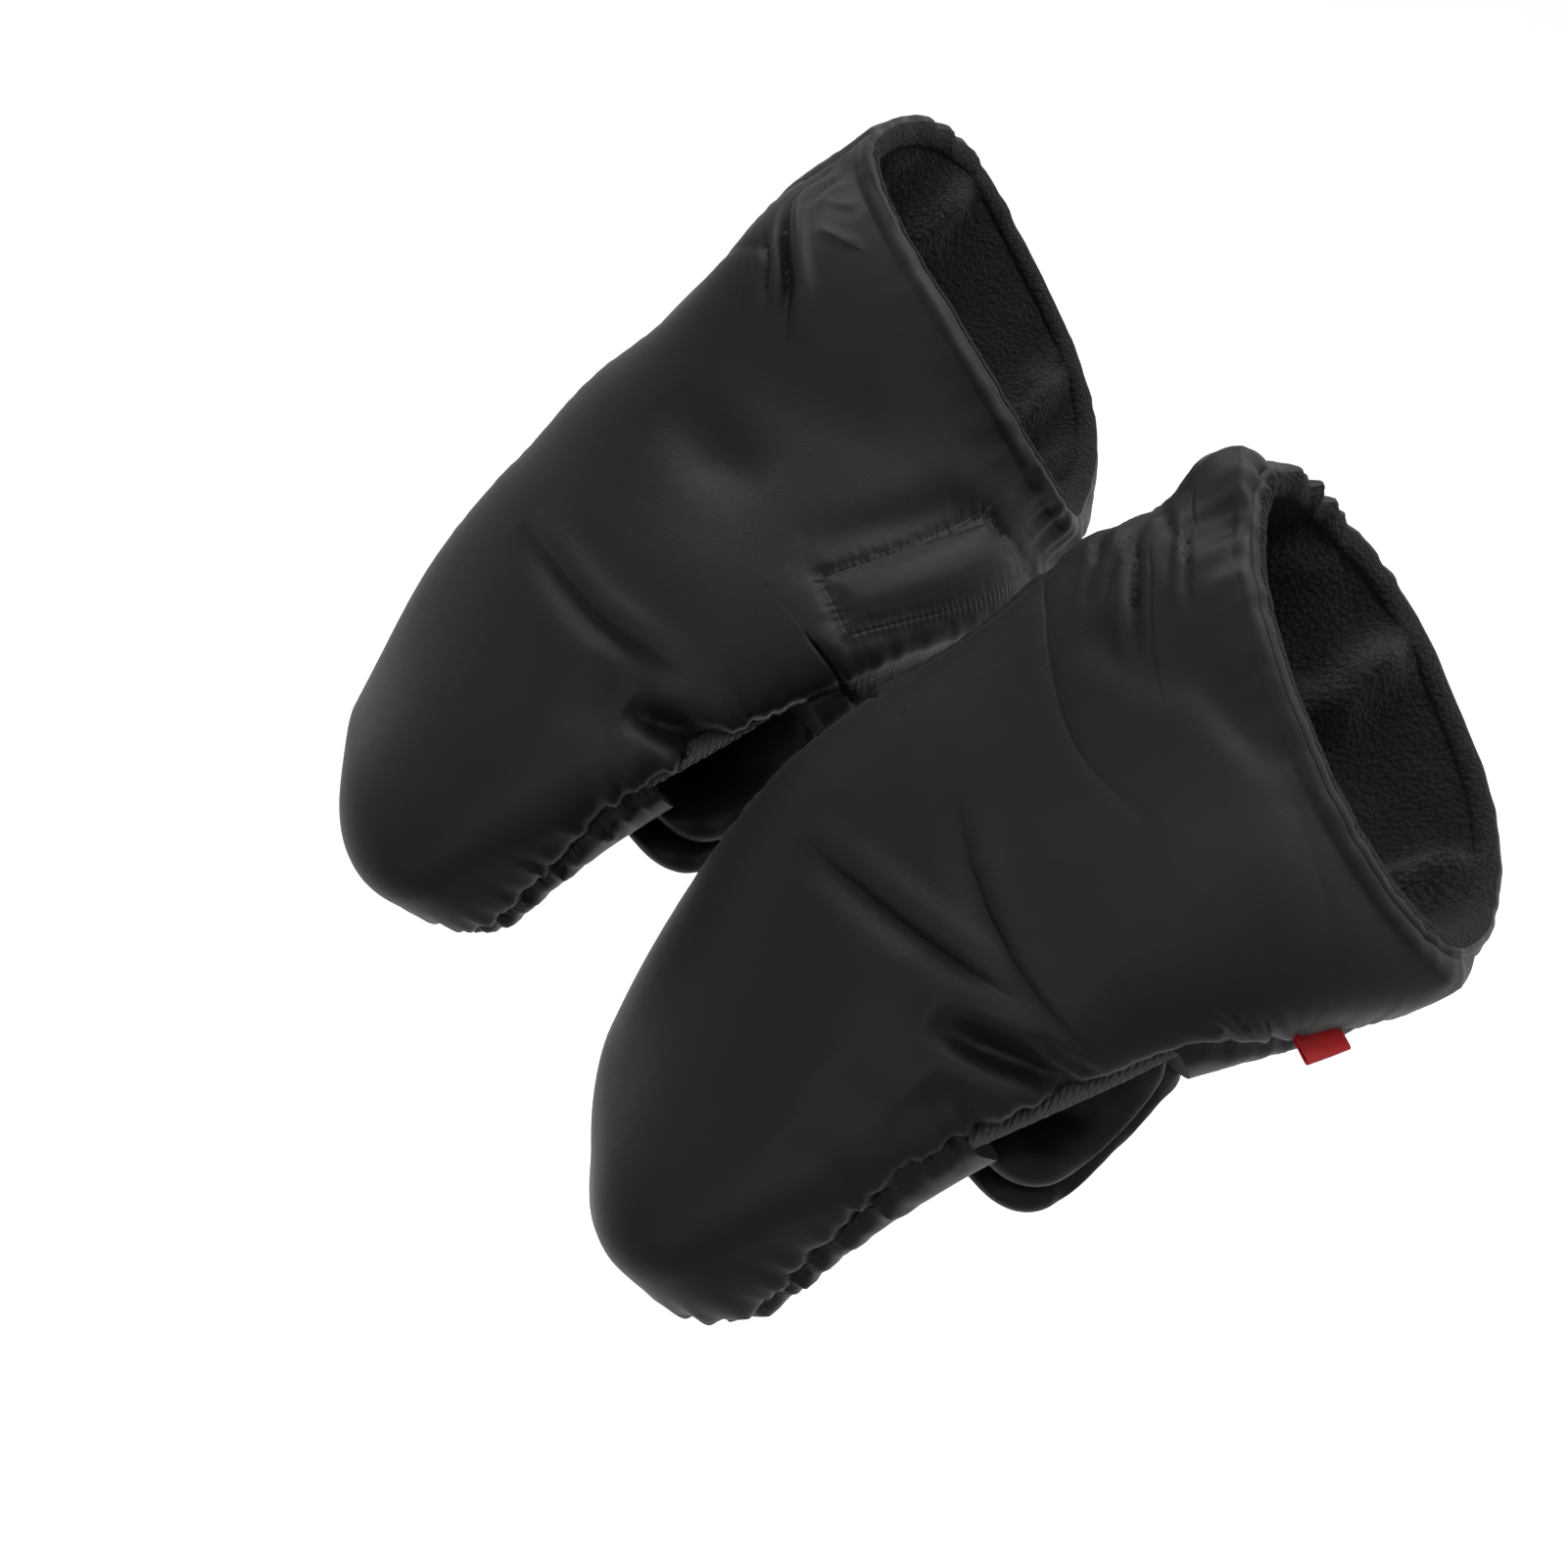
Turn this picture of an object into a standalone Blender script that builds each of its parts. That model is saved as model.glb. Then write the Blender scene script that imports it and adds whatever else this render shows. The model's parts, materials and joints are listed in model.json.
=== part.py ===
"""A pair of padded stroller hand muffs, worn side by side on a handlebar that runs along X.

The origin is on the handlebar's axis, midway between the muffs. +Y is the way the stroller
rolls, so the fingers point to +Y and the cuffs open to -Y, and +Z is up. Each muff is worked out
in its own frame, whose first axis points outward, away from the other muff, and the left one is
mirrored from it. A place on the wall is given by t, the share of the way from the cuff's rim
to the finger tip, and by an angle round the section: 0 is the outer side seam, 90 degrees the
back of the hand, 180 the inner side seam and 270 the palm.
"""

import bisect
import math

import bmesh
import bpy
from mathutils import Matrix, Vector

# Handlebar that the muffs are made for
BAR_RADIUS = 0.018
BAR_CLEARANCE = 0.0025

# Layers of the padded wall, from the outside in
LAYER_GAP = 0.0003
SHELL_THICKNESS = 0.0012
WADDING_THICKNESS = 0.0055
LINING_THICKNESS = 0.0024

# Half width of the section between its side seams, at the cuff, over the bar and at the tip
CUFF_HALF_WIDTH = 0.0685
GRIP_HALF_WIDTH = 0.0635
FINGER_HALF_WIDTH = 0.050

# Height of the back of the hand above the seams
CUFF_CROWN = 0.0315
GRIP_CROWN = 0.029
FINGER_CROWN = 0.023

# Depth of the palm side below the seams
CUFF_DEPTH = 0.053
GRIP_DEPTH = 0.0325
FINGER_DEPTH = 0.040

# Roundness of the sections, oblique cut of the cuff and start of the rounded tip
BACK_ROUNDNESS_share = 2.25
PALM_ROUNDNESS_share = 3.0
CUFF_RAKE = math.radians(44)
TIP_START_share = 0.90

# How each muff lies on the bar: the centre of its cuff, of its section over the bar and of
# its tip, then the roll of the cuff and of the tip about the muff's length, outer side up,
# and the lean of the tip to the outer side as a share of the finger half width
GRIP_OUTWARD = 0.0725
GRIP_LIFT = 0.026
LAY = {
    "left": {
        "cuff_outward": 0.102, "cuff_back": 0.1055, "cuff_up": 0.056,
        "tip_outward": 0.0515, "tip_forward": 0.0935, "tip_down": 0.0435,
        "cuff_roll": math.radians(-31), "tip_roll": math.radians(45), "tip_lean_share": 0.26,
    },
    "right": {
        "cuff_outward": 0.072, "cuff_back": 0.135, "cuff_up": 0.064,
        "tip_outward": 0.0835, "tip_forward": 0.0875, "tip_down": 0.030,
        "cuff_roll": math.radians(50), "tip_roll": math.radians(-32), "tip_lean_share": -0.21,
    },
}
SIDES = {"left": -1, "right": 1}
LABELLED_SIDE = "left"
TIP_ROLL_POWER_share = 1.3

# Cuff hem, its elastic and the seam between the cuff band and the back panel
HEM_LENGTH = 0.009
ELASTIC_WIDTH = 0.014
CUFF_BAND_WIDTH = 0.055
BAND_SEAM_GAP = 0.0003

# Window in the palm side that the bar passes through, and the binding along its side edges
WINDOW_MARGIN = 0.0015
BINDING_THICKNESS = 0.0016

# Grip flap: two pads wrapped under the bar and a tail that fastens on the palm panel
PAD_THICKNESS = 0.012
FLAP_HALF_WIDTH = 0.052
FLAP_END_GAP = 0.0005
INNER_PAD_END = math.radians(10)
TAIL_START = 0.044
TAIL_LENGTH = 0.030
TAIL_OUTER_EDGE = math.radians(300)
TAIL_INNER_EDGE = math.radians(240)

# Hook and loop strips, each a patch on its own cloth
STRIP_THICKNESS = 0.0008

# Side closure flap of the cuff, on the side that faces the other muff
CLOSURE_FROM = 0.012
CLOSURE_TO_BAR = 0.031
CLOSURE_THICKNESS = 0.0025
CLOSURE_TOP = math.radians(128)
CLOSURE_BOTTOM = math.radians(183)
FOLD_SPAN = (math.radians(120), math.radians(135))
CLOSURE_STRIP_TOP = math.radians(135)
CLOSURE_STRIP_BOTTOM = math.radians(150)
HINGE_GAP = 0.0006

# Label tab folded into the outer seam of the left muff
LABEL_LENGTH = 0.014
LABEL_DROP = 0.010
LABEL_THICKNESS = 0.0016
LABEL_FROM_RIM = 0.060
LABEL_ANGLE = math.radians(-12)
LABEL_ROUNDING_share = 0.3

# Counts of facets
HALF_STEPS = 12
LENGTH_STEPS = 13
TIP_STEPS = 4
RING_STEPS = 8
ARC_STEPS = 9
RUN_STEPS = 3
TAIL_COLUMN_COUNT = 4

# Colours, roughness
FINISHES = {
    "shell_nylon": ((0.020, 0.020, 0.022), 0.46),
    "fleece": ((0.014, 0.014, 0.015), 0.95),
    "wadding": ((0.80, 0.80, 0.78), 0.90),
    "binding": ((0.018, 0.018, 0.020), 0.60),
    "hook_and_loop": ((0.012, 0.012, 0.013), 0.85),
    "elastic": ((0.05, 0.05, 0.05), 0.70),
    "label_red": ((0.62, 0.02, 0.02), 0.55),
}

SPINE_MIDDLE_share = 0.5
OUTER_SEAM = 0.0
INNER_SEAM = math.pi
FULL_TURN = 2 * math.pi

WALL = SHELL_THICKNESS + WADDING_THICKNESS + LINING_THICKNESS + 2 * LAYER_GAP
SHELL_LAYER = (0, SHELL_THICKNESS)
WADDING_LAYER = (SHELL_LAYER[1] + LAYER_GAP, SHELL_LAYER[1] + LAYER_GAP + WADDING_THICKNESS)
LINING_LAYER = (WADDING_LAYER[1] + LAYER_GAP, WALL)
GRIP_RADIUS = BAR_RADIUS + BAR_CLEARANCE
LOOP_LEVEL = LAYER_GAP + STRIP_THICKNESS
HOOK_LEVEL = LOOP_LEVEL + LAYER_GAP + STRIP_THICKNESS
FLAP_LEVEL = HOOK_LEVEL + LAYER_GAP
TAIL_ANGLES = [TAIL_OUTER_EDGE + (TAIL_INNER_EDGE - TAIL_OUTER_EDGE) * i / TAIL_COLUMN_COUNT
               for i in range(TAIL_COLUMN_COUNT + 1)]
ACROSS = [FLAP_HALF_WIDTH * (1 - 2 * i / TAIL_COLUMN_COUNT) for i in range(TAIL_COLUMN_COUNT + 1)]


def clear_scene():
    for item in list(bpy.data.objects):
        bpy.data.objects.remove(item, do_unlink=True)


def make_material(name):
    color, roughness = FINISHES[name]
    material = bpy.data.materials.new(name)
    material.use_nodes = True
    shader = material.node_tree.nodes["Principled BSDF"]
    shader.inputs["Base Color"].default_value = (*color, 1)
    shader.inputs["Roughness"].default_value = roughness
    shader.inputs["Metallic"].default_value = 0
    material.diffuse_color = (*color, 1)
    return material


def signed_power(value, power):
    return math.copysign(abs(value) ** power, value)


def through_three(first, middle, last, t):
    """The quadratic that has these values at t = 0, one half and 1."""
    return (first * (1 - t) * (1 - 2 * t) + 4 * middle * t * (1 - t) + last * t * (2 * t - 1))


class Muff:
    """One muff's wall as a function of t, angle and inset, in its outward frame."""

    def __init__(self, side):
        lay = LAY[side]
        self.side = side
        self.mirror = SIDES[side]
        self.lay = lay
        self.cuff = Vector((lay["cuff_outward"], -lay["cuff_back"], lay["cuff_up"]))
        self.grip = Vector((GRIP_OUTWARD, 0, GRIP_LIFT))
        self.tip = Vector((lay["tip_outward"], lay["tip_forward"], -lay["tip_down"]))
        self.bend = 2 * self.grip - (self.cuff + self.tip) / 2
        self.length = self.measure_length()
        self.set_knots()
        self.set_grip_frame()

    def centre(self, t):
        return (1 - t) ** 2 * self.cuff + 2 * t * (1 - t) * self.bend + t ** 2 * self.tip

    def along(self, t):
        """Way the section faces, towards the tip; over the bar it is square to the bar."""
        way = (1 - t) * (self.bend - self.cuff) + t * (self.tip - self.bend)
        way.x *= (2 * t - 1) ** 2
        return way.normalized()

    def measure_length(self):
        points = [self.centre(i / LENGTH_STEPS) for i in range(LENGTH_STEPS + 1)]
        return sum((b - a).length for a, b in zip(points, points[1:]))

    def plane_place(self, distance):
        """The t whose section plane passes the bar's axis at this distance."""
        low, high = 0.0, 1.0
        while high - low > 1e-7:
            t = (low + high) / 2
            centre, way = self.centre(t), self.along(t)
            if centre.y * way.y + centre.z * way.z < distance:
                low = t
            else:
                high = t
        return low

    def set_knots(self):
        edge = GRIP_RADIUS + WINDOW_MARGIN
        self.window_back = self.plane_place(-edge)
        self.window_front = self.plane_place(edge)
        self.binding_back = self.plane_place(LAYER_GAP - edge)
        self.binding_front = self.plane_place(edge - LAYER_GAP)
        self.elastic_end = ELASTIC_WIDTH / self.length
        self.wadding_start = (ELASTIC_WIDTH + LAYER_GAP) / self.length
        self.band_end = CUFF_BAND_WIDTH / self.length
        self.panel_start = (CUFF_BAND_WIDTH + BAND_SEAM_GAP) / self.length
        self.closure_start = CLOSURE_FROM / self.length
        self.closure_end = self.plane_place(-CLOSURE_TO_BAR)
        self.tail_from = self.plane_place(-TAIL_START)
        self.tail_to = self.plane_place(-TAIL_START - TAIL_LENGTH)
        fixed = [0.0, self.elastic_end, self.wadding_start, self.band_end, self.panel_start,
                 self.closure_start, self.closure_end, self.tail_from, self.tail_to,
                 self.window_back, self.binding_back,
                 self.binding_front, self.window_front, TIP_START_share, 1.0]
        spread = [i / LENGTH_STEPS * TIP_START_share for i in range(1, LENGTH_STEPS)]
        reach = TIP_START_share / LENGTH_STEPS / 3
        knots = fixed + [t for t in spread if min(abs(t - f) for f in fixed) > reach]
        knots += [TIP_START_share + (1 - TIP_START_share) * math.sin(math.pi / 2 * i / TIP_STEPS)
                  for i in range(1, TIP_STEPS)]
        self.knots = sorted(set(knots))

    def knots_between(self, start, end):
        first = bisect.bisect_left(self.knots, start - 1e-9)
        last = bisect.bisect_right(self.knots, end + 1e-9)
        return self.knots[first:last]

    def roll(self, t):
        middle = SPINE_MIDDLE_share
        back = max(0.0, (middle - t) / middle)
        back = back * back * (3 - 2 * back)
        front = max(0.0, (t - middle) / (1 - middle)) ** TIP_ROLL_POWER_share
        return self.lay["cuff_roll"] * back + self.lay["tip_roll"] * front

    def frame(self, t):
        """Across, up and along directions of the section at t; the cuff's is raked."""
        way = self.along(t)
        across = (Vector((1, 0, 0)) - way * way.x).normalized()
        up = across.cross(way)
        roll = self.roll(t)
        rolled = across * math.cos(roll) + up * math.sin(roll)
        up = up * math.cos(roll) - across * math.sin(roll)
        rake = CUFF_RAKE * max(0.0, 1 - t / SPINE_MIDDLE_share) ** 2
        raked = up * math.cos(rake) + way * math.sin(rake)
        return rolled, raked, way, rake

    def wall(self, t, angle, inset=0.0, lift=0.0):
        """Point on the wall, inset from the outer face and lifted off the seam plane."""
        across, up, way, rake = self.frame(t)
        tip = max(0.0, (t - TIP_START_share) / (1 - TIP_START_share))
        rounding = math.sqrt(max(0.0, 1 - tip ** 2))
        is_back = math.sin(angle) > 0
        roundness = PALM_ROUNDNESS_share
        if is_back:
            roundness = BACK_ROUNDNESS_share
            height = through_three(CUFF_CROWN, GRIP_CROWN, FINGER_CROWN, t)
        else:
            height = through_three(CUFF_DEPTH, GRIP_DEPTH, FINGER_DEPTH, t)
        width = through_three(CUFF_HALF_WIDTH, GRIP_HALF_WIDTH, FINGER_HALF_WIDTH, t)
        lean = self.lay["tip_lean_share"] * FINGER_HALF_WIDTH * (1 - rounding)
        out = signed_power(math.cos(angle), 2 / roundness) * (width - inset) * rounding
        rise = signed_power(math.sin(angle), 2 / roundness) * (height - inset) * rounding
        point = self.centre(t) - way * inset * tip
        point += across * (out + lean) + up * (rise + lift) / math.cos(rake)
        return point

    def set_grip_frame(self):
        """Directions for the flap under the bar, square to the bar."""
        way = self.along(SPINE_MIDDLE_share)
        self.grip_along = way
        self.grip_up = Vector((1, 0, 0)).cross(way)

    def round_bar(self, angle, radius, outward):
        """Point round the bar: angle 0 is below it and positive angles lie in front."""
        point = self.grip_along * radius * math.sin(angle) - self.grip_up * radius * math.cos(angle)
        return Vector((outward, point.y, point.z))

    def bar_angle(self, point):
        """Radius and angle of a point about the bar, as round_bar counts them."""
        flat = Vector((0, point.y, point.z))
        return flat.length, math.atan2(flat.dot(self.grip_along), -flat.dot(self.grip_up))

    def world(self, point):
        return Vector((self.mirror * point.x, point.y, point.z))


def half_angles(start, end):
    """Angles of the section's facets from start to end, shared by every layer."""
    step = math.pi / HALF_STEPS
    inner = [i * step for i in range(2 * HALF_STEPS + 1)]
    return [start] + [a for a in inner if start + step / 4 < a < end - step / 4] + [end]


class Solid:
    """Gathers the faces of one closed solid from an outer and an inner grid of points."""

    def __init__(self):
        self.mesh = bmesh.new()
        self.points = {}

    def vertex(self, point):
        key = tuple(round(c, 8) for c in point)
        if key not in self.points:
            self.points[key] = self.mesh.verts.new(point)
        return self.points[key]

    def face(self, corners):
        unique = []
        for corner in map(self.vertex, corners):
            if corner not in unique:
                unique.append(corner)
        if len(unique) > 2:
            self.mesh.faces.new(unique)


def solid_between(outer, inner, wrap=False, keep=None):
    """Closed solid between two grids, without the cells that keep turns down.

    Every cell is split along the same diagonal, so that nested layers never cross.
    """
    rows = len(outer) - 1
    columns = len(outer[0]) - (0 if wrap else 1)
    width = len(outer[0])

    def kept(i, j):
        if wrap:
            j %= columns
        inside = 0 <= i < rows and 0 <= j < columns
        return inside and (keep is None or keep(i, j))

    solid = Solid()
    for i in range(rows):
        for j in range(columns):
            if not kept(i, j):
                continue
            k = (j + 1) % width
            for grid in (outer, inner):
                solid.face([grid[i][j], grid[i][k], grid[i + 1][k]])
                solid.face([grid[i][j], grid[i + 1][k], grid[i + 1][j]])
            sides = (
                ((i, j - 1), (i, j), (i + 1, j)),
                ((i, j + 1), (i, k), (i + 1, k)),
                ((i - 1, j), (i, j), (i, k)),
                ((i + 1, j), (i + 1, j), (i + 1, k)),
            )
            for neighbour, a, b in sides:
                if not kept(*neighbour):
                    solid.face([outer[a[0]][a[1]], outer[b[0]][b[1]],
                                inner[b[0]][b[1]], inner[a[0]][a[1]]])
    return solid


def finish_object(name, muff, solid, material, hinge=None):
    """Turn the gathered faces into a named object, on its hinge where it has one."""
    origin = hinge.location.copy() if hinge else Vector((0, 0, 0))
    for vertex in solid.mesh.verts:
        vertex.co = muff.world(vertex.co) - origin
    bmesh.ops.recalc_face_normals(solid.mesh, faces=solid.mesh.faces)
    mesh = bpy.data.meshes.new(name)
    solid.mesh.to_mesh(mesh)
    solid.mesh.free()
    mesh.shade_smooth()
    mesh.set_sharp_from_angle(angle=math.radians(50))
    item = bpy.data.objects.new(f"{name}_{muff.side}", mesh)
    item.data.materials.append(MATERIALS[material])
    COLLECTION.objects.link(item)
    if hinge:
        item.parent = hinge
    return item


def wall_piece(name, muff, t_range, angles, layer, lift, material):
    """A piece of one layer of the wall, between two t values and over the given angles."""
    knots = muff.knots_between(*t_range)
    outer = [[muff.wall(t, a, layer[0], lift) for a in angles] for t in knots]
    inner = [[muff.wall(t, a, layer[1], lift) for a in angles] for t in knots]
    return finish_object(name, muff, solid_between(outer, inner), material)


def make_shell(muff):
    back = half_angles(OUTER_SEAM, INNER_SEAM)
    palm = half_angles(INNER_SEAM, FULL_TURN)
    up, down = LAYER_GAP / 2, -LAYER_GAP / 2
    wall_piece("cuff_band", muff, (0, muff.band_end), back, SHELL_LAYER, up, "shell_nylon")
    wall_piece("back_panel", muff, (muff.panel_start, 1), back, SHELL_LAYER, up, "shell_nylon")
    wall_piece("palm_panel", muff, (0, muff.window_back), palm, SHELL_LAYER, down, "shell_nylon")
    wall_piece("finger_panel", muff, (muff.window_front, 1), palm, SHELL_LAYER, down,
               "shell_nylon")
    wall_piece("back_wadding", muff, (muff.wadding_start, 1), back, WADDING_LAYER, up, "wadding")
    wall_piece("palm_wadding", muff, (muff.wadding_start, muff.window_back), palm,
               WADDING_LAYER, down, "wadding")
    wall_piece("finger_wadding", muff, (muff.window_front, 1), palm, WADDING_LAYER, down,
               "wadding")


def make_lining(muff):
    """Fleece sack, open at the cuff and over the bar's window."""
    knots = muff.knots_between(0, 1)
    angles = half_angles(OUTER_SEAM, FULL_TURN)[:-1]

    def keep(i, j):
        over_window = muff.window_back - 1e-9 <= knots[i] < muff.window_front - 1e-9
        return not (over_window and angles[j] >= INNER_SEAM - 1e-9)

    outer = [[muff.wall(t, a, LINING_LAYER[0]) for a in angles] for t in knots]
    inner = [[muff.wall(t, a, LINING_LAYER[1]) for a in angles] for t in knots]
    solid = solid_between(outer, inner, wrap=True, keep=keep)
    finish_object("fleece_lining", muff, solid, "fleece")


def make_elastic(muff):
    knots = muff.knots_between(0, muff.elastic_end)
    angles = half_angles(OUTER_SEAM, FULL_TURN)[:-1]
    outer = [[muff.wall(t, a, WADDING_LAYER[0] + LAYER_GAP) for a in angles] for t in knots]
    inner = [[muff.wall(t, a, WADDING_LAYER[1] - LAYER_GAP) for a in angles] for t in knots]
    finish_object("cuff_elastic", muff, solid_between(outer, inner, wrap=True), "elastic")


def make_hem(muff):
    """Rounded binding that closes the rim, a ring in front of the layers' edges."""
    across, up, _, _ = muff.frame(0)
    outward = up.cross(across)
    if outward.dot(muff.along(0)) > 0:
        outward.negate()
    half_wall = WALL / 2
    half_hem = HEM_LENGTH / 2
    solid = Solid()
    rings = []
    for angle in half_angles(OUTER_SEAM, FULL_TURN)[:-1]:
        ring = []
        for i in range(RING_STEPS):
            turn = FULL_TURN * i / RING_STEPS
            point = muff.wall(0, angle, half_wall - half_wall * math.cos(turn))
            ring.append(point + outward * (LAYER_GAP + half_hem + half_hem * math.sin(turn)))
        rings.append(ring)
    for i, ring in enumerate(rings):
        following = rings[(i + 1) % len(rings)]
        for j in range(RING_STEPS):
            k = (j + 1) % RING_STEPS
            solid.face([ring[j], following[j], following[k], ring[k]])
    finish_object("cuff_hem", muff, solid, "shell_nylon")


def make_bindings(muff):
    """Elastic bindings along the wall's lower edges, where it crosses over the bar."""
    knots = muff.knots_between(muff.binding_back, muff.binding_front)
    for name, seam in (("outer_grip_binding", OUTER_SEAM), ("inner_grip_binding", INNER_SEAM)):
        grids = []
        for lift in (-LAYER_GAP, -LAYER_GAP - BINDING_THICKNESS):
            grids.append([[muff.wall(t, seam, inset, lift) for inset in (0, WALL / 2, WALL)]
                          for t in knots])
        finish_object(name, muff, solid_between(*grids), "binding")


def make_hinge(name, muff, point, way):
    """Empty on a joint's axis, with its X along the axis."""
    empty = bpy.data.objects.new(f"{name}_{muff.side}", None)
    empty.location = muff.world(point)
    empty.rotation_mode = "QUATERNION"
    empty["axis"] = tuple(way)
    COLLECTION.objects.link(empty)
    bpy.context.view_layer.update()
    return empty


def flap_front_angle(muff, radius, outer_radius):
    """Angle round the bar at which a flap's end meets the finger panel's underside."""
    lowest = math.pi / 2
    samples = 4 * LENGTH_STEPS
    places = [muff.window_front + (TIP_START_share - muff.window_front) * i / samples
              for i in range(samples + 1)]
    angles = half_angles(INNER_SEAM, FULL_TURN)
    for t in places:
        for seam_angle in angles:
            for inset in (0, WALL / 2, WALL):
                point = muff.wall(t, seam_angle, inset, -LAYER_GAP / 2)
                distance, angle = muff.bar_angle(point)
                near = abs(point.x - GRIP_OUTWARD) <= FLAP_HALF_WIDTH + FLAP_END_GAP
                level = radius - FLAP_END_GAP <= distance <= outer_radius + FLAP_END_GAP
                if near and level:
                    lowest = min(lowest, angle)
    return lowest - FLAP_END_GAP / radius


def arc_rows(muff, front, back, radius):
    """Rows of points along the bar, at a radius, from one angle round it to another."""
    rows = []
    for i in range(ARC_STEPS + 1):
        angle = front + (back - front) * i / ARC_STEPS
        rows.append([muff.round_bar(angle, radius, GRIP_OUTWARD + across) for across in ACROSS])
    return rows


def tail_rows(muff, angles, below):
    """Rows of points under the palm panel, from the bar towards the cuff."""
    knots = reversed(muff.knots_between(muff.tail_to, muff.tail_from))
    return [[muff.wall(t, a, -below, -LAYER_GAP / 2) for a in angles] for t in knots]


def leave_angle(muff, row, radius):
    """Angle at which a sheet wound round the bar has left it for every point of a row."""
    leaves = []
    for point in row:
        distance, angle = muff.bar_angle(point)
        leaves.append(angle + math.acos(min(1.0, radius / distance)))
    return min(leaves)


def make_grip_flap(muff):
    """Padded flap hung from the finger panel, wrapped under the bar and fastened on the palm."""
    inner_face = GRIP_RADIUS + PAD_THICKNESS + LAYER_GAP
    outer_face = inner_face + PAD_THICKNESS
    front = flap_front_angle(muff, inner_face, outer_face)
    pivot = muff.round_bar(front, outer_face, GRIP_OUTWARD)
    hinge = make_hinge("grip_flap_hinge", muff, pivot, (1, 0, 0))

    grids = []
    tail_inner = tail_rows(muff, TAIL_ANGLES, FLAP_LEVEL)
    leave = leave_angle(muff, tail_inner[0], inner_face)
    for radius, extra in ((inner_face, 0), (outer_face, PAD_THICKNESS)):
        arc = arc_rows(muff, front, leave, radius)
        tail = tail_rows(muff, TAIL_ANGLES, FLAP_LEVEL + extra)
        run = []
        for i in range(1, RUN_STEPS):
            part = i / RUN_STEPS
            run.append([a.lerp(b, part) for a, b in zip(arc[-1], tail[0])])
        grids.append(arc + run + tail)
    finish_object("grip_flap", muff, solid_between(*grids), "shell_nylon", hinge)

    reach = flap_front_angle(muff, GRIP_RADIUS, GRIP_RADIUS + PAD_THICKNESS) - INNER_PAD_END
    grids = [arc_rows(muff, reach, -reach, radius)
             for radius in (GRIP_RADIUS, GRIP_RADIUS + PAD_THICKNESS)]
    finish_object("grip_pad", muff, solid_between(*grids), "shell_nylon", hinge)

    strip_angles = TAIL_ANGLES[1:-1]
    layers = (
        ("grip_loop_strip", LAYER_GAP, LOOP_LEVEL, None),
        ("grip_hook_strip", LOOP_LEVEL + LAYER_GAP, HOOK_LEVEL, hinge),
    )
    for name, low, high, carrier in layers:
        grids = [tail_rows(muff, strip_angles, below) for below in (low, high)]
        finish_object(name, muff, solid_between(*grids), "hook_and_loop", carrier)


def straight_fold(muff, knots, angle, level):
    """Points of a straight fold beside the wall, nowhere nearer to it than this."""
    wall = [muff.wall(t, angle, 0, LAYER_GAP / 2) for t in knots]
    middle = knots[len(knots) // 2]
    chord = wall[-1] - wall[0]
    around = muff.wall(middle, FOLD_SPAN[1]) - muff.wall(middle, FOLD_SPAN[0])
    out = around.cross(chord).normalized()
    if out.dot(muff.wall(middle, angle, -level) - muff.wall(middle, angle)) < 0:
        out.negate()
    shares = [(point - wall[0]).dot(chord) / chord.length_squared for point in wall]
    fold = [wall[0] + chord * share for share in shares]
    bulge = max((muff.wall(t, beside, 0, LAYER_GAP / 2) - point).dot(out)
                for t, point in zip(knots, fold) for beside in half_angles(*FOLD_SPAN))
    return [point + out * (bulge + level) for point in fold]


def make_closure(muff):
    """Side flap of the cuff, hung from the back of the hand over the inner side seam."""
    knots = muff.knots_between(muff.closure_start, muff.closure_end)
    angles = half_angles(CLOSURE_TOP, CLOSURE_BOTTOM)
    grids = []
    for extra in (0, CLOSURE_THICKNESS):
        fold = straight_fold(muff, knots, CLOSURE_TOP, HINGE_GAP + extra)
        grids.append([[point] + [muff.wall(t, a, -FLAP_LEVEL - extra) for a in angles[1:]]
                      for t, point in zip(knots, fold)])
    first, last = fold[0], fold[-1]
    way = (muff.world(last) - muff.world(first)).normalized() * muff.mirror
    hinge = make_hinge("closure_hinge", muff, (first + last) / 2, way)
    finish_object("closure_flap", muff, solid_between(*grids), "shell_nylon", hinge)

    strip_knots = knots[1:-1]
    strip_angles = half_angles(CLOSURE_STRIP_TOP, CLOSURE_STRIP_BOTTOM)
    layers = (
        ("closure_loop_strip", LAYER_GAP, LOOP_LEVEL, None),
        ("closure_hook_strip", LOOP_LEVEL + LAYER_GAP, HOOK_LEVEL, hinge),
    )
    for name, low, high, carrier in layers:
        grids = [[[muff.wall(t, a, -level, LAYER_GAP / 2) for a in strip_angles]
                  for t in strip_knots] for level in (high, low)]
        finish_object(name, muff, solid_between(*grids), "hook_and_loop", carrier)


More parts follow.
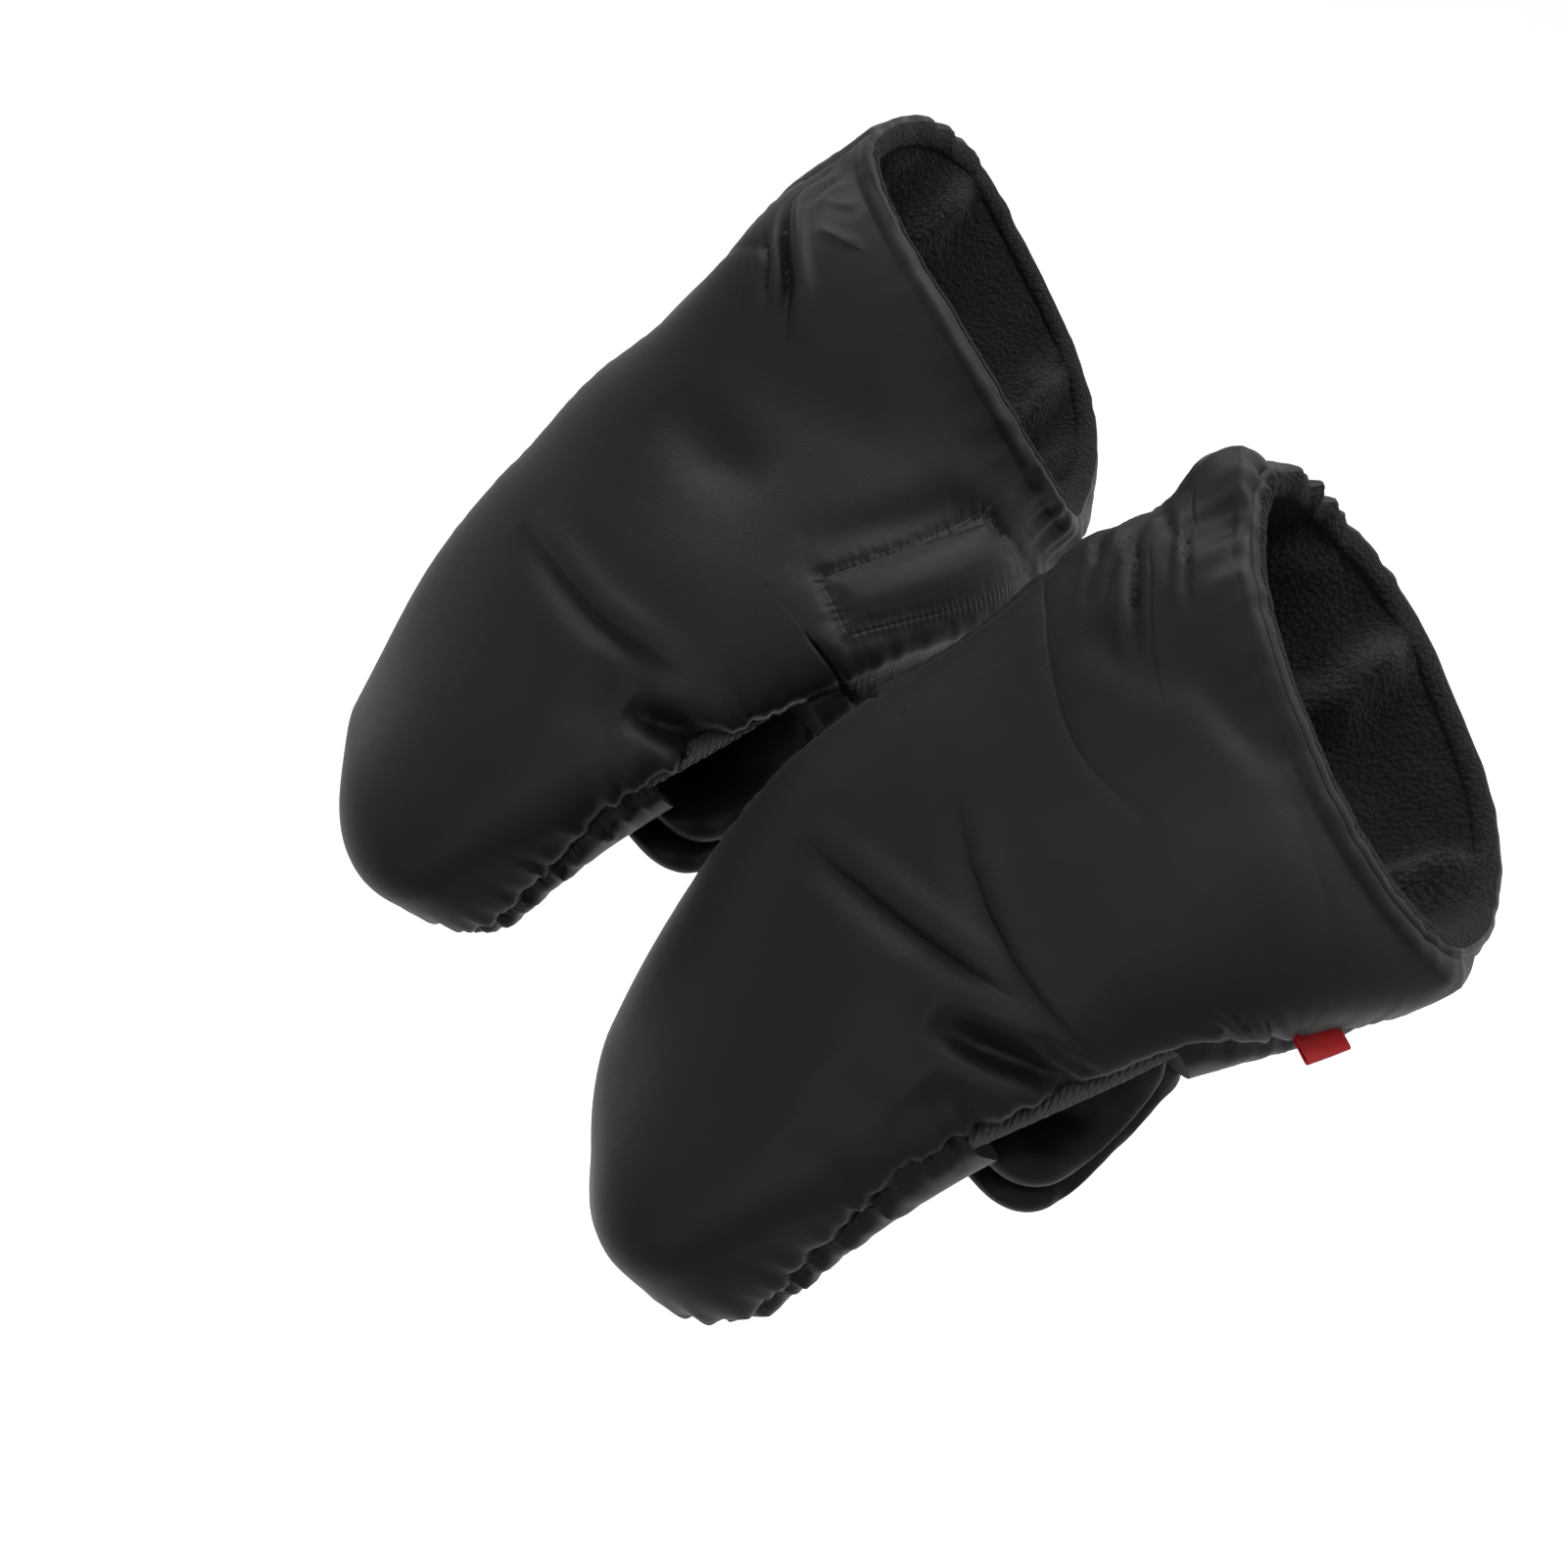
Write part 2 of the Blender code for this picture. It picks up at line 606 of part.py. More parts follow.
def make_label(muff):
    """Small folded tab that stands out of the outer seam near the cuff."""
    t = LABEL_FROM_RIM / muff.length
    base = muff.wall(t, LABEL_ANGLE, 0, -LAYER_GAP / 2)
    ahead = muff.wall(t + LABEL_LENGTH / muff.length, LABEL_ANGLE, 0, -LAYER_GAP / 2)
    way = (ahead - base).normalized()
    across, up, _, _ = muff.frame(t)
    out = (across * math.cos(LABEL_ANGLE) + up * math.sin(LABEL_ANGLE))
    out = (out - way * out.dot(way)).normalized()
    side = way.cross(out)
    solid = Solid()
    made = bmesh.ops.create_cube(solid.mesh, size=1)
    size = Matrix.Diagonal((LABEL_LENGTH, LABEL_DROP, LABEL_THICKNESS, 1))
    turn = Matrix((way, out, side)).transposed().to_4x4()
    place = Matrix.Translation((base + ahead) / 2 + out * (LABEL_DROP / 2 + LAYER_GAP))
    bmesh.ops.transform(solid.mesh, matrix=place @ turn @ size, verts=made["verts"])
    item = finish_object("label_tab", muff, solid, "label_red")
    bevel = item.modifiers.new("soft_edges", "BEVEL")
    bevel.width = LABEL_THICKNESS * LABEL_ROUNDING_share
    bevel.segments = 1


def make_muff(side):
    muff = Muff(side)
    make_shell(muff)
    make_lining(muff)
    make_elastic(muff)
    make_hem(muff)
    make_bindings(muff)
    make_grip_flap(muff)
    make_closure(muff)
    if side == LABELLED_SIDE:
        make_label(muff)


clear_scene()
COLLECTION = bpy.data.collections.new("stroller_hand_muffs")
bpy.context.scene.collection.children.link(COLLECTION)
MATERIALS = {name: make_material(name) for name in FINISHES}
for muff_side in SIDES:
    make_muff(muff_side)
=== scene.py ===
"""Looks of a pair of padded stroller hand muffs, dressed around their CAD frame.

Every piece follows the same wall as the CAD part: a place on a muff is given by t, the share of
the way from the cuff's rim to the finger tip, and by an angle round the section, where 0 is the
outer side seam, 90 degrees the back of the hand, 180 the inner side seam and 270 the palm.
Each muff is worked out in its own frame, whose first axis points away from the other muff.
"""

import json
import math

import bmesh
import bpy
import numpy as np
from mathutils import Matrix, Vector


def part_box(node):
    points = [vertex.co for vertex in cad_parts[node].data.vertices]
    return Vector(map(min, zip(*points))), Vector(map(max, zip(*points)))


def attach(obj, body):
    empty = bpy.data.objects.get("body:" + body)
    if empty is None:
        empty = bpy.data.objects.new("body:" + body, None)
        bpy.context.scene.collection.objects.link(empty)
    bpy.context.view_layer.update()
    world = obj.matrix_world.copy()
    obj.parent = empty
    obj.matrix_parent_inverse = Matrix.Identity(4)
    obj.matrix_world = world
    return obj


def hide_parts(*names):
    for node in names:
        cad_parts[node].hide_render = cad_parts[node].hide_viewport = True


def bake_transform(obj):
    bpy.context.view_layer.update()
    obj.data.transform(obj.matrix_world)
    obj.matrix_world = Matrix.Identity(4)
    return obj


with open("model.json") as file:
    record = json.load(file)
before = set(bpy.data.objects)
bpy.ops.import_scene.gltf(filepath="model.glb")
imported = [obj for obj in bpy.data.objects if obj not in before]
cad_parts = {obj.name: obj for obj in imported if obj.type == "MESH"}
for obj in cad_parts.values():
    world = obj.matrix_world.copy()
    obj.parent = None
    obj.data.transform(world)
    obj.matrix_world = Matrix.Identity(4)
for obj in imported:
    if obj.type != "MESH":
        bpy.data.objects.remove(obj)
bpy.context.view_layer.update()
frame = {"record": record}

# ---------------------------------------------------------------- sizes, as in the CAD part
BAR_RADIUS = 0.018
BAR_CLEARANCE = 0.0025
LAYER_GAP = 0.0003
SHELL_THICKNESS = 0.0012
WADDING_THICKNESS = 0.0055
LINING_THICKNESS = 0.0024
CUFF_HALF_WIDTH, GRIP_HALF_WIDTH, FINGER_HALF_WIDTH = 0.0685, 0.0635, 0.050
CUFF_CROWN, GRIP_CROWN, FINGER_CROWN = 0.0315, 0.029, 0.023
CUFF_DEPTH, GRIP_DEPTH, FINGER_DEPTH = 0.053, 0.0325, 0.040
BACK_ROUNDNESS, PALM_ROUNDNESS = 2.25, 3.0
CUFF_RAKE = math.radians(44)
TIP_START = 0.90
GRIP_OUTWARD, GRIP_LIFT = 0.0725, 0.026
TIP_ROLL_POWER = 1.3
LAY = {
    "left": {
        "cuff": (0.102, -0.1055, 0.056), "tip": (0.0515, 0.0935, -0.0435),
        "cuff_roll": math.radians(-31), "tip_roll": math.radians(45), "tip_lean": 0.26,
    },
    "right": {
        "cuff": (0.072, -0.135, 0.064), "tip": (0.0835, 0.0875, -0.030),
        "cuff_roll": math.radians(50), "tip_roll": math.radians(-32), "tip_lean": -0.21,
    },
}
SIDES = {"left": -1, "right": 1}
WINDOW_MARGIN = 0.0015
BINDING_THICKNESS = 0.0016
PAD_THICKNESS = 0.012
PAD_CORNER, PAD_EDGE = 0.014, 0.009
# How the pads are swollen as cloth, and the most that a point may move by it
PAD_PRESSURE, PAD_CAP, CLOTH_FRAMES = 4.0, 0.0012, 20
CLOTH_QUALITY, CLOTH_MASS, CLOTH_SHRINK = 6, 0.15, -0.05
# Thickness before the swelling, as a share, and how uneven it is: height, size and seed
FLAP_FILLING, PAD_FILLING = 0.86, 0.84
FLAP_UNEVEN = {"left": (0.0006, 0.030, 21), "right": (0.0006, 0.030, 22)}
PAD_UNEVEN = (0.0005, 0.028, 31)
FLAP_RUFFLE, RUFFLE_REACH, RUFFLE_STEP = 0.0007, 0.008, 0.008
FLAP_HALF_WIDTH = 0.052
BINDING_INSET, BINDING_RUN, BINDING_STEP = 0.0006, 0.045, 0.0042
TAIL_START, TAIL_LENGTH = 0.044, 0.030
TAIL_OUTER_EDGE, TAIL_INNER_EDGE = math.radians(300), math.radians(240)
STRIP_THICKNESS, STRIP_ROWS, STRIP_COLUMNS = 0.0008, 24, 18
CLOSURE_FROM, CLOSURE_TO_BAR = 0.012, 0.031
CLOSURE_TOP, CLOSURE_BOTTOM = math.radians(128), math.radians(183)
LABEL_LENGTH, LABEL_DROP, LABEL_THICKNESS = 0.014, 0.010, 0.0016
LABEL_FROM_RIM, LABEL_ANGLE = 0.060, math.radians(-8)
LABEL_BOW = 0.0006

WALL = SHELL_THICKNESS + WADDING_THICKNESS + LINING_THICKNESS + 2 * LAYER_GAP
LINING_OUTER = WALL - LINING_THICKNESS
SKIN_INNER = LINING_OUTER - LAYER_GAP
GRIP_RADIUS = BAR_RADIUS + BAR_CLEARANCE
FLAP_LEVEL = 3 * LAYER_GAP + 2 * STRIP_THICKNESS

# ---------------------------------------------------------------- how fine the meshes are
SKIN_CELLS, LINING_CELLS = (0.0013, 0.0009, 0.0016), (0.0020, 0.0020, 0.0020)
SKIN_TIP_ROWS, LINING_TIP_ROWS = 26, 12
# Folds and swellings fade out from here to the very tip
PLAIN_FROM = 0.97
# Lengths round the section over the back of the hand and over the palm, and their cells
BACK_RUN, PALM_RUN = 0.165, 0.190
BACK_CELL, PALM_CELL = 0.0012, 1.4 * 0.0012
LINING_COLUMNS, HEM_COLUMNS = (64, 76), (110, 130)
PAD_COLUMNS, FLAP_ROWS, PAD_ROWS = 37, 56, 32
ARC_ROWS, RUN_ROWS, TAIL_ROWS, PAD_ARC_ROWS = 44, 22, 24, 50
PAD_ACROSS = FLAP_HALF_WIDTH * np.cos(np.linspace(0, math.pi, PAD_COLUMNS))
BINDING_ROWS, BINDING_TURNS = 90, 14
TINY = 1e-12
MERGE_DISTANCE, LEAST_EDGE = 1e-6, 1e-7
SHARP_FROM = math.radians(60)

# ---------------------------------------------------------------- rim and closure
ROLL_ROWS, PIPING_ROWS, LINING_ROLL_ROWS = 9, 11, 12
ROLL_END, PIPING_END = math.radians(58), math.radians(88)
# How far the rolled rim reaches out of the cuff
ROLL_REACH = 0.0040
# Angle in degrees where the elastic gathers the rim most, and how much
RIM_GATHERED = {"left": (195, 0.88), "right": (325, 0.40)}
PIPING_RAISED = {"left": 0.0006, "right": 0.0003}
PIPING_SEAT, PIPING_INNER, LINING_RAISED = 0.0003, -0.0008, 0.0002
# Overlaps of the roll, its piping and the lining round the rim
PIPING_LAPPED, PIPING_SPREAD, LINING_LAPPED = math.radians(5), math.radians(8), math.radians(4)
# Small gathers just inside the rim: height, step, reach, and the angles where they are most
RIM_GATHERS, RIM_GATHERS_AT = (0.0009, 0.017, 0.012), (150, 36)
# The pocket under the closure flap, and how much of the folds the flap presses flat
POCKET_DEPTH, FOLDS_PRESSED = 0.0046, 0.7
# How far the closure flap lifts where it is loose, and the width and drop of its rounded free edges
CLOSURE_LIFT, CLOSURE_EDGE, CLOSURE_EDGE_DROP = 0.0011, 0.0024, 0.0014
CLOSURE_LEAST, CLOSURE_THICK = 0.0003, 0.0022
# How far the flap follows the cloth's folds down, over the pocket and beside it
CLOSURE_DIP, CLOSURE_DIP_BESIDE = 0.0016, 0.006
# The flap is loose from this far past its fold
LOOSE_FROM, LOOSE_TO = 0.016, 0.024
CLOSURE_STRIP_INSET = 0.16
CLOSURE_STRIP_ANGLES = (math.radians(139), math.radians(153))
# Height of the strips' under sides over the plain wall, down in the pocket
LOOP_LEVEL, HOOK_LEVEL = 0.0006 - POCKET_DEPTH, 0.0015 - POCKET_DEPTH


def unit(vectors):
    return vectors / np.maximum(np.linalg.norm(vectors, axis=-1, keepdims=True), TINY)


def signed_power(value, power):
    return np.sign(value) * np.abs(value) ** power


def through_three(first, middle, last, t):
    return first * (1 - t) * (1 - 2 * t) + 4 * middle * t * (1 - t) + last * t * (2 * t - 1)


def smoothstep(low, high, value):
    share = np.clip((np.asarray(value) - low) / (high - low), 0, 1)
    return share * share * (3 - 2 * share)


def bell(value, width, middle=0.0):
    """1 at the middle, falling off smoothly on both sides over the width."""
    return np.exp(-((value - middle) / width) ** 2)


class Wall:
    """One muff's wall as a function of t, angle and inset, in its outward frame."""

    def __init__(self, side):
        lay = LAY[side]
        self.side, self.mirror, self.lay = side, SIDES[side], lay
        self.cuff = np.array(lay["cuff"])
        self.grip = np.array((GRIP_OUTWARD, 0.0, GRIP_LIFT))
        self.tip = np.array(lay["tip"])
        self.bend = 2 * self.grip - (self.cuff + self.tip) / 2
        points = self.centre(np.linspace(0, 1, 14))
        self.length = np.linalg.norm(np.diff(points, axis=0), axis=1).sum()
        edge = GRIP_RADIUS + WINDOW_MARGIN
        self.window_back = self.plane_place(-edge)
        self.window_front = self.plane_place(edge)
        self.closure_start = CLOSURE_FROM / self.length
        self.closure_end = self.plane_place(-CLOSURE_TO_BAR)
        self.grip_along = self.along(np.array(0.5))
        self.grip_up = np.cross((1.0, 0.0, 0.0), self.grip_along)

    def centre(self, t):
        t = np.asarray(t, float)[..., None]
        return (1 - t) ** 2 * self.cuff + 2 * t * (1 - t) * self.bend + t ** 2 * self.tip

    def along(self, t):
        t = np.asarray(t, float)[..., None]
        way = (1 - t) * (self.bend - self.cuff) + t * (self.tip - self.bend)
        way = way * np.concatenate([(2 * t - 1) ** 2, np.ones_like(t), np.ones_like(t)], -1)
        return unit(way)

    def plane_place(self, distance):
        low, high = 0.0, 1.0
        while high - low > 1e-7:
            t = (low + high) / 2
            centre, way = self.centre(t), self.along(t)
            if centre[1] * way[1] + centre[2] * way[2] < distance:
                low = t
            else:
                high = t
        return low

    def frame(self, t):
        way = self.along(t)
        x = np.array((1.0, 0.0, 0.0))
        across = unit(x - way * way[..., :1])
        up = np.cross(across, way)
        back = np.clip((0.5 - t) / 0.5, 0, None)
        back = back * back * (3 - 2 * back)
        front = np.clip((t - 0.5) / 0.5, 0, None) ** TIP_ROLL_POWER
        roll = (self.lay["cuff_roll"] * back + self.lay["tip_roll"] * front)[..., None]
        rolled = across * np.cos(roll) + up * np.sin(roll)
        up = up * np.cos(roll) - across * np.sin(roll)
        rake = (CUFF_RAKE * np.clip(1 - t / 0.5, 0, None) ** 2)[..., None]
        return rolled, up * np.cos(rake) + way * np.sin(rake), way, rake[..., 0]

    def place(self, t, angle, inset=0.0, lift=0.0):
        """Points on the wall, inset from the outer face and lifted off the seam plane."""
        t, angle = np.broadcast_arrays(np.asarray(t, float), np.asarray(angle, float))
        across, up, way, rake = self.frame(t)
        tip = np.clip((t - TIP_START) / (1 - TIP_START), 0, 1)
        rounding = np.sqrt(np.clip(1 - tip ** 2, 0, None))
        back = np.sin(angle) > 0
        roundness = np.where(back, BACK_ROUNDNESS, PALM_ROUNDNESS)
        height = np.where(back, through_three(CUFF_CROWN, GRIP_CROWN, FINGER_CROWN, t),
                          through_three(CUFF_DEPTH, GRIP_DEPTH, FINGER_DEPTH, t))
        width = through_three(CUFF_HALF_WIDTH, GRIP_HALF_WIDTH, FINGER_HALF_WIDTH, t)
        lean = self.lay["tip_lean"] * FINGER_HALF_WIDTH * (1 - rounding)
        out = signed_power(np.cos(angle), 2 / roundness) * (width - inset) * rounding
        rise = signed_power(np.sin(angle), 2 / roundness) * (height - inset) * rounding
        point = self.centre(t) - way * (inset * tip)[..., None]
        point = point + across * (out + lean)[..., None]
        return point + up * ((rise + lift) / np.cos(rake))[..., None]

    def even_angles(self, t, start, end, count):
        """Angles at each t that cut the section between start and end into equal lengths."""
        u = np.linspace(0, 1, 241)[None, :]
        start = np.broadcast_to(start, t.shape)[:, None]
        end = np.broadcast_to(end, t.shape)[:, None]
        dense = start + (end - start) * u * u * (3 - 2 * u)
        points = self.place(t[:, None], dense)
        steps = np.linalg.norm(np.diff(points, axis=1), axis=2)
        run = np.concatenate([np.zeros((len(t), 1)), np.cumsum(steps, axis=1)], axis=1)
        wanted = np.linspace(0, 1, count + 1)
        rows = [np.interp(wanted * max(r[-1], 1e-9), r, d) if r[-1] > 1e-6
                else d[0] + (d[-1] - d[0]) * wanted for r, d in zip(run, dense)]
        return np.array(rows)

    def rim_way(self):
        """Direction out of the cuff, square to its rim."""
        across, up, _, _ = self.frame(np.array(0.0))
        out = np.cross(up, across)
        return -out if out @ self.along(np.array(0.0)) > 0 else out

    def round_bar(self, angle, radius, outward):
        """Points round the bar: angle 0 is below it and positive angles lie in front."""
        angle, radius, outward = np.broadcast_arrays(*(np.asarray(v, float)
                                                       for v in (angle, radius, outward)))
        point = (self.grip_along * (radius * np.sin(angle))[..., None]
                 - self.grip_up * (radius * np.cos(angle))[..., None])
        point[..., 0] = outward
        return point

    def world(self, points):
        return points * np.array((self.mirror, 1.0, 1.0))


# ---------------------------------------------------------------- meshes
def grid_normals(points, wrap):
    rows = np.gradient(points, axis=0)
    if wrap:
        columns = (np.roll(points, -1, axis=1) - np.roll(points, 1, axis=1)) / 2
    else:
        columns = np.gradient(points, axis=1)
    return unit(np.cross(rows, columns))


def outward_normals(points, middle, wrap=False):
    """Normals of a grid, turned away from the points in its middle."""
    normals = grid_normals(points, wrap)
    facing = np.sum(normals * (points - middle), axis=-1).mean()
    return normals if facing > 0 else -normals


def closed_between(name, outer, inner, keep=None, wrap=False, attributes=()):
    """Closed solid between two grids of points, over the cells that keep holds."""
    rows, columns = outer.shape[0], outer.shape[1]
    cells = columns if wrap else columns - 1
    if keep is None:
        keep = np.ones((rows - 1, cells), bool)
    number = np.arange(rows * columns).reshape(rows, columns)
    following = np.roll(number, -1, axis=1) if wrap else number[:, 1:]
    first = number if wrap else number[:, :-1]
    a, b = first[:-1][keep], following[:-1][keep]
    c, d = following[1:][keep], first[1:][keep]
    shift = rows * columns
    faces = [np.stack([a, b, c, d], 1), np.stack([a, d, c, b], 1) + shift]
    padded = np.zeros((rows + 1, cells + 2), bool)
    padded[1:-1, 1:-1] = keep
    if wrap:
        padded[1:-1, 0], padded[1:-1, -1] = keep[:, -1], keep[:, 0]
    here = padded[1:-1, 1:-1]
    for neighbour, p, q in ((padded[:-2, 1:-1], first[:-1], following[:-1]),
                            (padded[2:, 1:-1], following[1:], first[1:]),
                            (padded[1:-1, :-2], first[1:], first[:-1]),
                            (padded[1:-1, 2:], following[:-1], following[1:])):
        edge = here & ~neighbour
        faces.append(np.stack([q[edge], p[edge], p[edge] + shift, q[edge] + shift], 1))
    faces = np.concatenate(faces)
    points = np.concatenate([outer.reshape(-1, 3), inner.reshape(-1, 3)])
    return mesh_object(name, points, faces, attributes)


def add_object(name, data):
    item = bpy.data.objects.new(name, data)
    bpy.context.scene.collection.objects.link(item)
    return item


def mesh_object(name, points, faces, attributes=()):
    """Object from points and quads, with doubled points merged and faces turned out."""
    used = np.unique(faces)
    order = np.full(len(points), -1)
    order[used] = np.arange(len(used))
    mesh = bpy.data.meshes.new(name)
    mesh.from_pydata(points[used].tolist(), [], order[faces].tolist())
    for key, values in attributes:
        made = mesh.attributes.new(key, "FLOAT", "POINT")
        made.data.foreach_set("value", np.asarray(values, np.float32)[used])
    made = bmesh.new()
    made.from_mesh(mesh)
    bmesh.ops.remove_doubles(made, verts=made.verts, dist=MERGE_DISTANCE)
    bmesh.ops.dissolve_degenerate(made, edges=made.edges, dist=LEAST_EDGE)
    bmesh.ops.recalc_face_normals(made, faces=made.faces)
    made.to_mesh(mesh)
    made.free()
    mesh.shade_smooth()
    mesh.set_sharp_from_angle(angle=SHARP_FROM)
    return add_object(name, mesh)


# ---------------------------------------------------------------- relief of the cloth
class Line:
    """A line on the wall, with each point's distance from it and place along it."""

    def __init__(self, wall, places, points):
        t, degrees = np.array(places, float).T
        fine = np.linspace(0, len(t) - 1, 8 * (len(t) - 1) + 1)
        knots = np.arange(len(t))
        route = wall.place(np.interp(fine, knots, t), np.radians(np.interp(fine, knots, degrees)))
        outward = route - wall.centre(np.interp(fine, knots, t))
        flat = points.reshape(-1, 3)
        nearest = np.full(len(flat), np.inf)
        run = np.zeros(len(flat))
        side = np.ones(len(flat))
        done = 0.0
        for p, q, out in zip(route, route[1:], outward):
            step = q - p
            left = np.cross(out, step)
            size = np.linalg.norm(step)
            share = np.clip((flat - p) @ step / max(size ** 2, TINY), 0, 1)
            gap = np.linalg.norm(flat - (p + share[:, None] * step), axis=1)
            closer = gap < nearest
            nearest[closer] = gap[closer]
            run[closer] = done + share[closer] * size
            side[closer] = np.sign((flat[closer] - p) @ left)
            done += size
        self.gap = nearest.reshape(points.shape[:-1])
        self.side_gap = (nearest * side).reshape(points.shape[:-1])
        self.run = run.reshape(points.shape[:-1])
        self.length = done

    def fade(self, share=0.3):
        """1 along the middle of the line, 0 at both of its ends."""
        place = self.run / self.length
        return np.sin(np.pi / 2 * np.clip(np.minimum(place, 1 - place) / share, 0, 1))


def crease(line, depth, width, shoulder=0.35, spread=3.2, share=0.35):
    """A sharp fold sunk into the cloth, with soft shoulders beside it."""
    raised = shoulder * bell(line.gap, spread * width)
    return depth * (raised - (1 + shoulder) * bell(line.gap, width)) * line.fade(share)


def tuck(line, height, width, share=0.4):
    """A fold laid over to the line's left: a soft ridge with a sharp drop beside it."""
    ridge = bell(line.side_gap, 1.1 * width, 1.1 * width)
    drop = bell(line.side_gap, 0.55 * width, -0.35 * width)
    return height * (0.75 * ridge - drop) * line.fade(share)


def lap(line, depth, width, share=0.35):
    """A fold whose cloth on the line's left stands steeply over the cloth on its right."""
    steep, gentle = bell(line.side_gap, 0.55 * width), bell(line.side_gap, 2.4 * width)
    ridge = bell(line.side_gap, 1.8 * width, 2.4 * width)
    return depth * (0.40 * ridge - np.where(line.side_gap > 0, steep, gentle)) * line.fade(share)


def valley(line, depth, width, share=0.4):
    return -depth * bell(line.gap, width) * line.fade(share)


def ridge(line, height, width):
    return -valley(line, height, width)


def seam(line, depth, width):
    """A sewn line that draws the padding in."""
    return -depth * bell(line.gap, width)


def waves(run, step, seed):
    """An uneven ripple along a length, from -1 to 1."""
    turn = 2 * math.pi * run / step
    return (0.6 * np.sin(turn + seed + 1.1 * np.sin(0.37 * turn + 2.0 * seed))
            + 0.4 * np.sin(1.73 * turn + 5.0 * seed + 0.9 * np.sin(0.61 * turn + seed)))


def gathers(line, height, step, reach, seed):
    """Puckers that run square to a sewn line and die away from it."""
    return height * bell(line.gap, reach) * waves(line.run, step, seed)


def drift(points, height, size, seed, count=7):
    """Slow unevenness of padded cloth, from a few long waves across space."""
    chance = np.random.default_rng(seed)
    total = np.zeros(points.shape[:-1])
    for _ in range(count):
        way = unit(chance.normal(size=3)) * 2 * math.pi / (size * chance.uniform(0.7, 1.5))
        total += np.sin(points @ way + chance.uniform(0, 2 * math.pi))
    return height * total / math.sqrt(count)


# Folds that the photograph shows, as places (t, angle in degrees) on each muff's wall:
# kind, places, depth or height, width or reach
RELIEF = {
    "left": (
        ("lap", [(0.528, 50), (0.543, 65), (0.551, 76), (0.557, 86), (0.563, 98), (0.564, 106),
                 (0.566, 114)], 0.0027, 0.0023),
        ("lap", [(0.515, 22), (0.518, 36), (0.516, 49), (0.507, 62), (0.492, 74), (0.468, 86),
                 (0.425, 98)], 0.0015, 0.0020),
        ("crease", [(0.600, 58), (0.585, 44), (0.570, 31), (0.558, 16), (0.551, 2)],
         0.0065, 0.0046),
        ("tuck", [(0.545, 40), (0.540, 26), (0.528, 12)], 0.0016, 0.0022),
        ("valley", [(0.60, 75), (0.62, 60), (0.63, 40), (0.60, 20)], 0.0024, 0.010),
        ("tuck", [(0.075, 172), (0.088, 166), (0.130, 146), (0.173, 131)], 0.0020, 0.0026),
        ("tuck", [(0.118, 160), (0.125, 141), (0.150, 127), (0.185, 112)], 0.0022, 0.0022),
        ("crease", [(0.088, 166), (0.080, 142), (0.103, 127)], 0.0012, 0.0016),
        ("tuck", [(0.145, 162), (0.160, 145), (0.196, 133)], 0.0013, 0.0017),
        ("tuck", [(0.060, 150), (0.075, 132), (0.098, 118)], 0.0012, 0.0018),
        ("valley", [(0.150, 118), (0.125, 104), (0.095, 92), (0.070, 84)], 0.0022, 0.0075),
        ("valley", [(0.205, 128), (0.190, 112), (0.165, 100)], 0.0012, 0.006),
        ("valley", [(0.458, 44), (0.468, 64), (0.400, 78)], 0.0012, 0.011),
        ("ridge", [(0.343, 67), (0.255, 65), (0.125, 66)], 0.0016, 0.018),
        ("valley", [(0.699, 4), (0.696, 37), (0.699, 58)], 0.0028, 0.0085),
        ("valley", [(0.759, 0), (0.756, 27), (0.761, 44)], 0.0022, 0.0070),
        ("valley", [(0.640, 4), (0.645, 22), (0.650, 40)], 0.0024, 0.0060),
        ("tuck", [(0.386, 24), (0.376, 10), (0.374, 0)], 0.0011, 0.0016),
        ("tuck", [(0.354, 18), (0.352, 6), (0.350, -4)], 0.0011, 0.0015),
        ("tuck", [(0.322, 14), (0.322, 4), (0.320, -6)], 0.0009, 0.0014),
        ("tuck", [(0.410, 20), (0.400, 8), (0.398, -2)], 0.0010, 0.0016),
    ),
    "right": (
        ("tuck", [(0.033, 12), (0.073, 18), (0.098, 26), (0.118, 39), (0.150, 56),
                  (0.195, 71)], 0.0032, 0.0030),
        ("tuck", [(0.135, 32), (0.155, 46), (0.190, 60)], 0.0020, 0.0020),
        ("tuck", [(0.018, 22), (0.055, 26), (0.090, 33)], 0.0014, 0.0020),
        ("ridge", [(0.085, 42), (0.060, 50), (0.035, 55)], 0.0010, 0.0017),
        ("ridge", [(0.058, 32), (0.036, 37), (0.014, 42)], 0.0009, 0.0016),
        ("lap", [(0.540, 70), (0.549, 82), (0.557, 94), (0.560, 106), (0.556, 118),
                 (0.546, 132), (0.535, 142)], 0.0027, 0.0023),
        ("crease", [(0.604, 138), (0.594, 148), (0.583, 160), (0.573, 174), (0.551, 183)],
         0.0072, 0.0050),
        ("valley", [(0.630, 120), (0.620, 135), (0.600, 150)], 0.0028, 0.010),
        ("valley", [(0.322, 66), (0.335, 78), (0.341, 88), (0.325, 101)], 0.0022, 0.009),
        ("valley", [(0.240, 60), (0.225, 85), (0.170, 100)], 0.0014, 0.010),
        ("valley", [(0.060, 140), (0.150, 120), (0.330, 120), (0.400, 130)], 0.0022, 0.007),
    ),
}
# Slow unevenness of the cloth and of the lining: height, size and seed
CLOTH_DRIFT = {"left": (0.0006, 0.055, 11), "right": (0.0006, 0.055, 12)}
LINING_DRIFT = (0.0006, 0.020, 5)
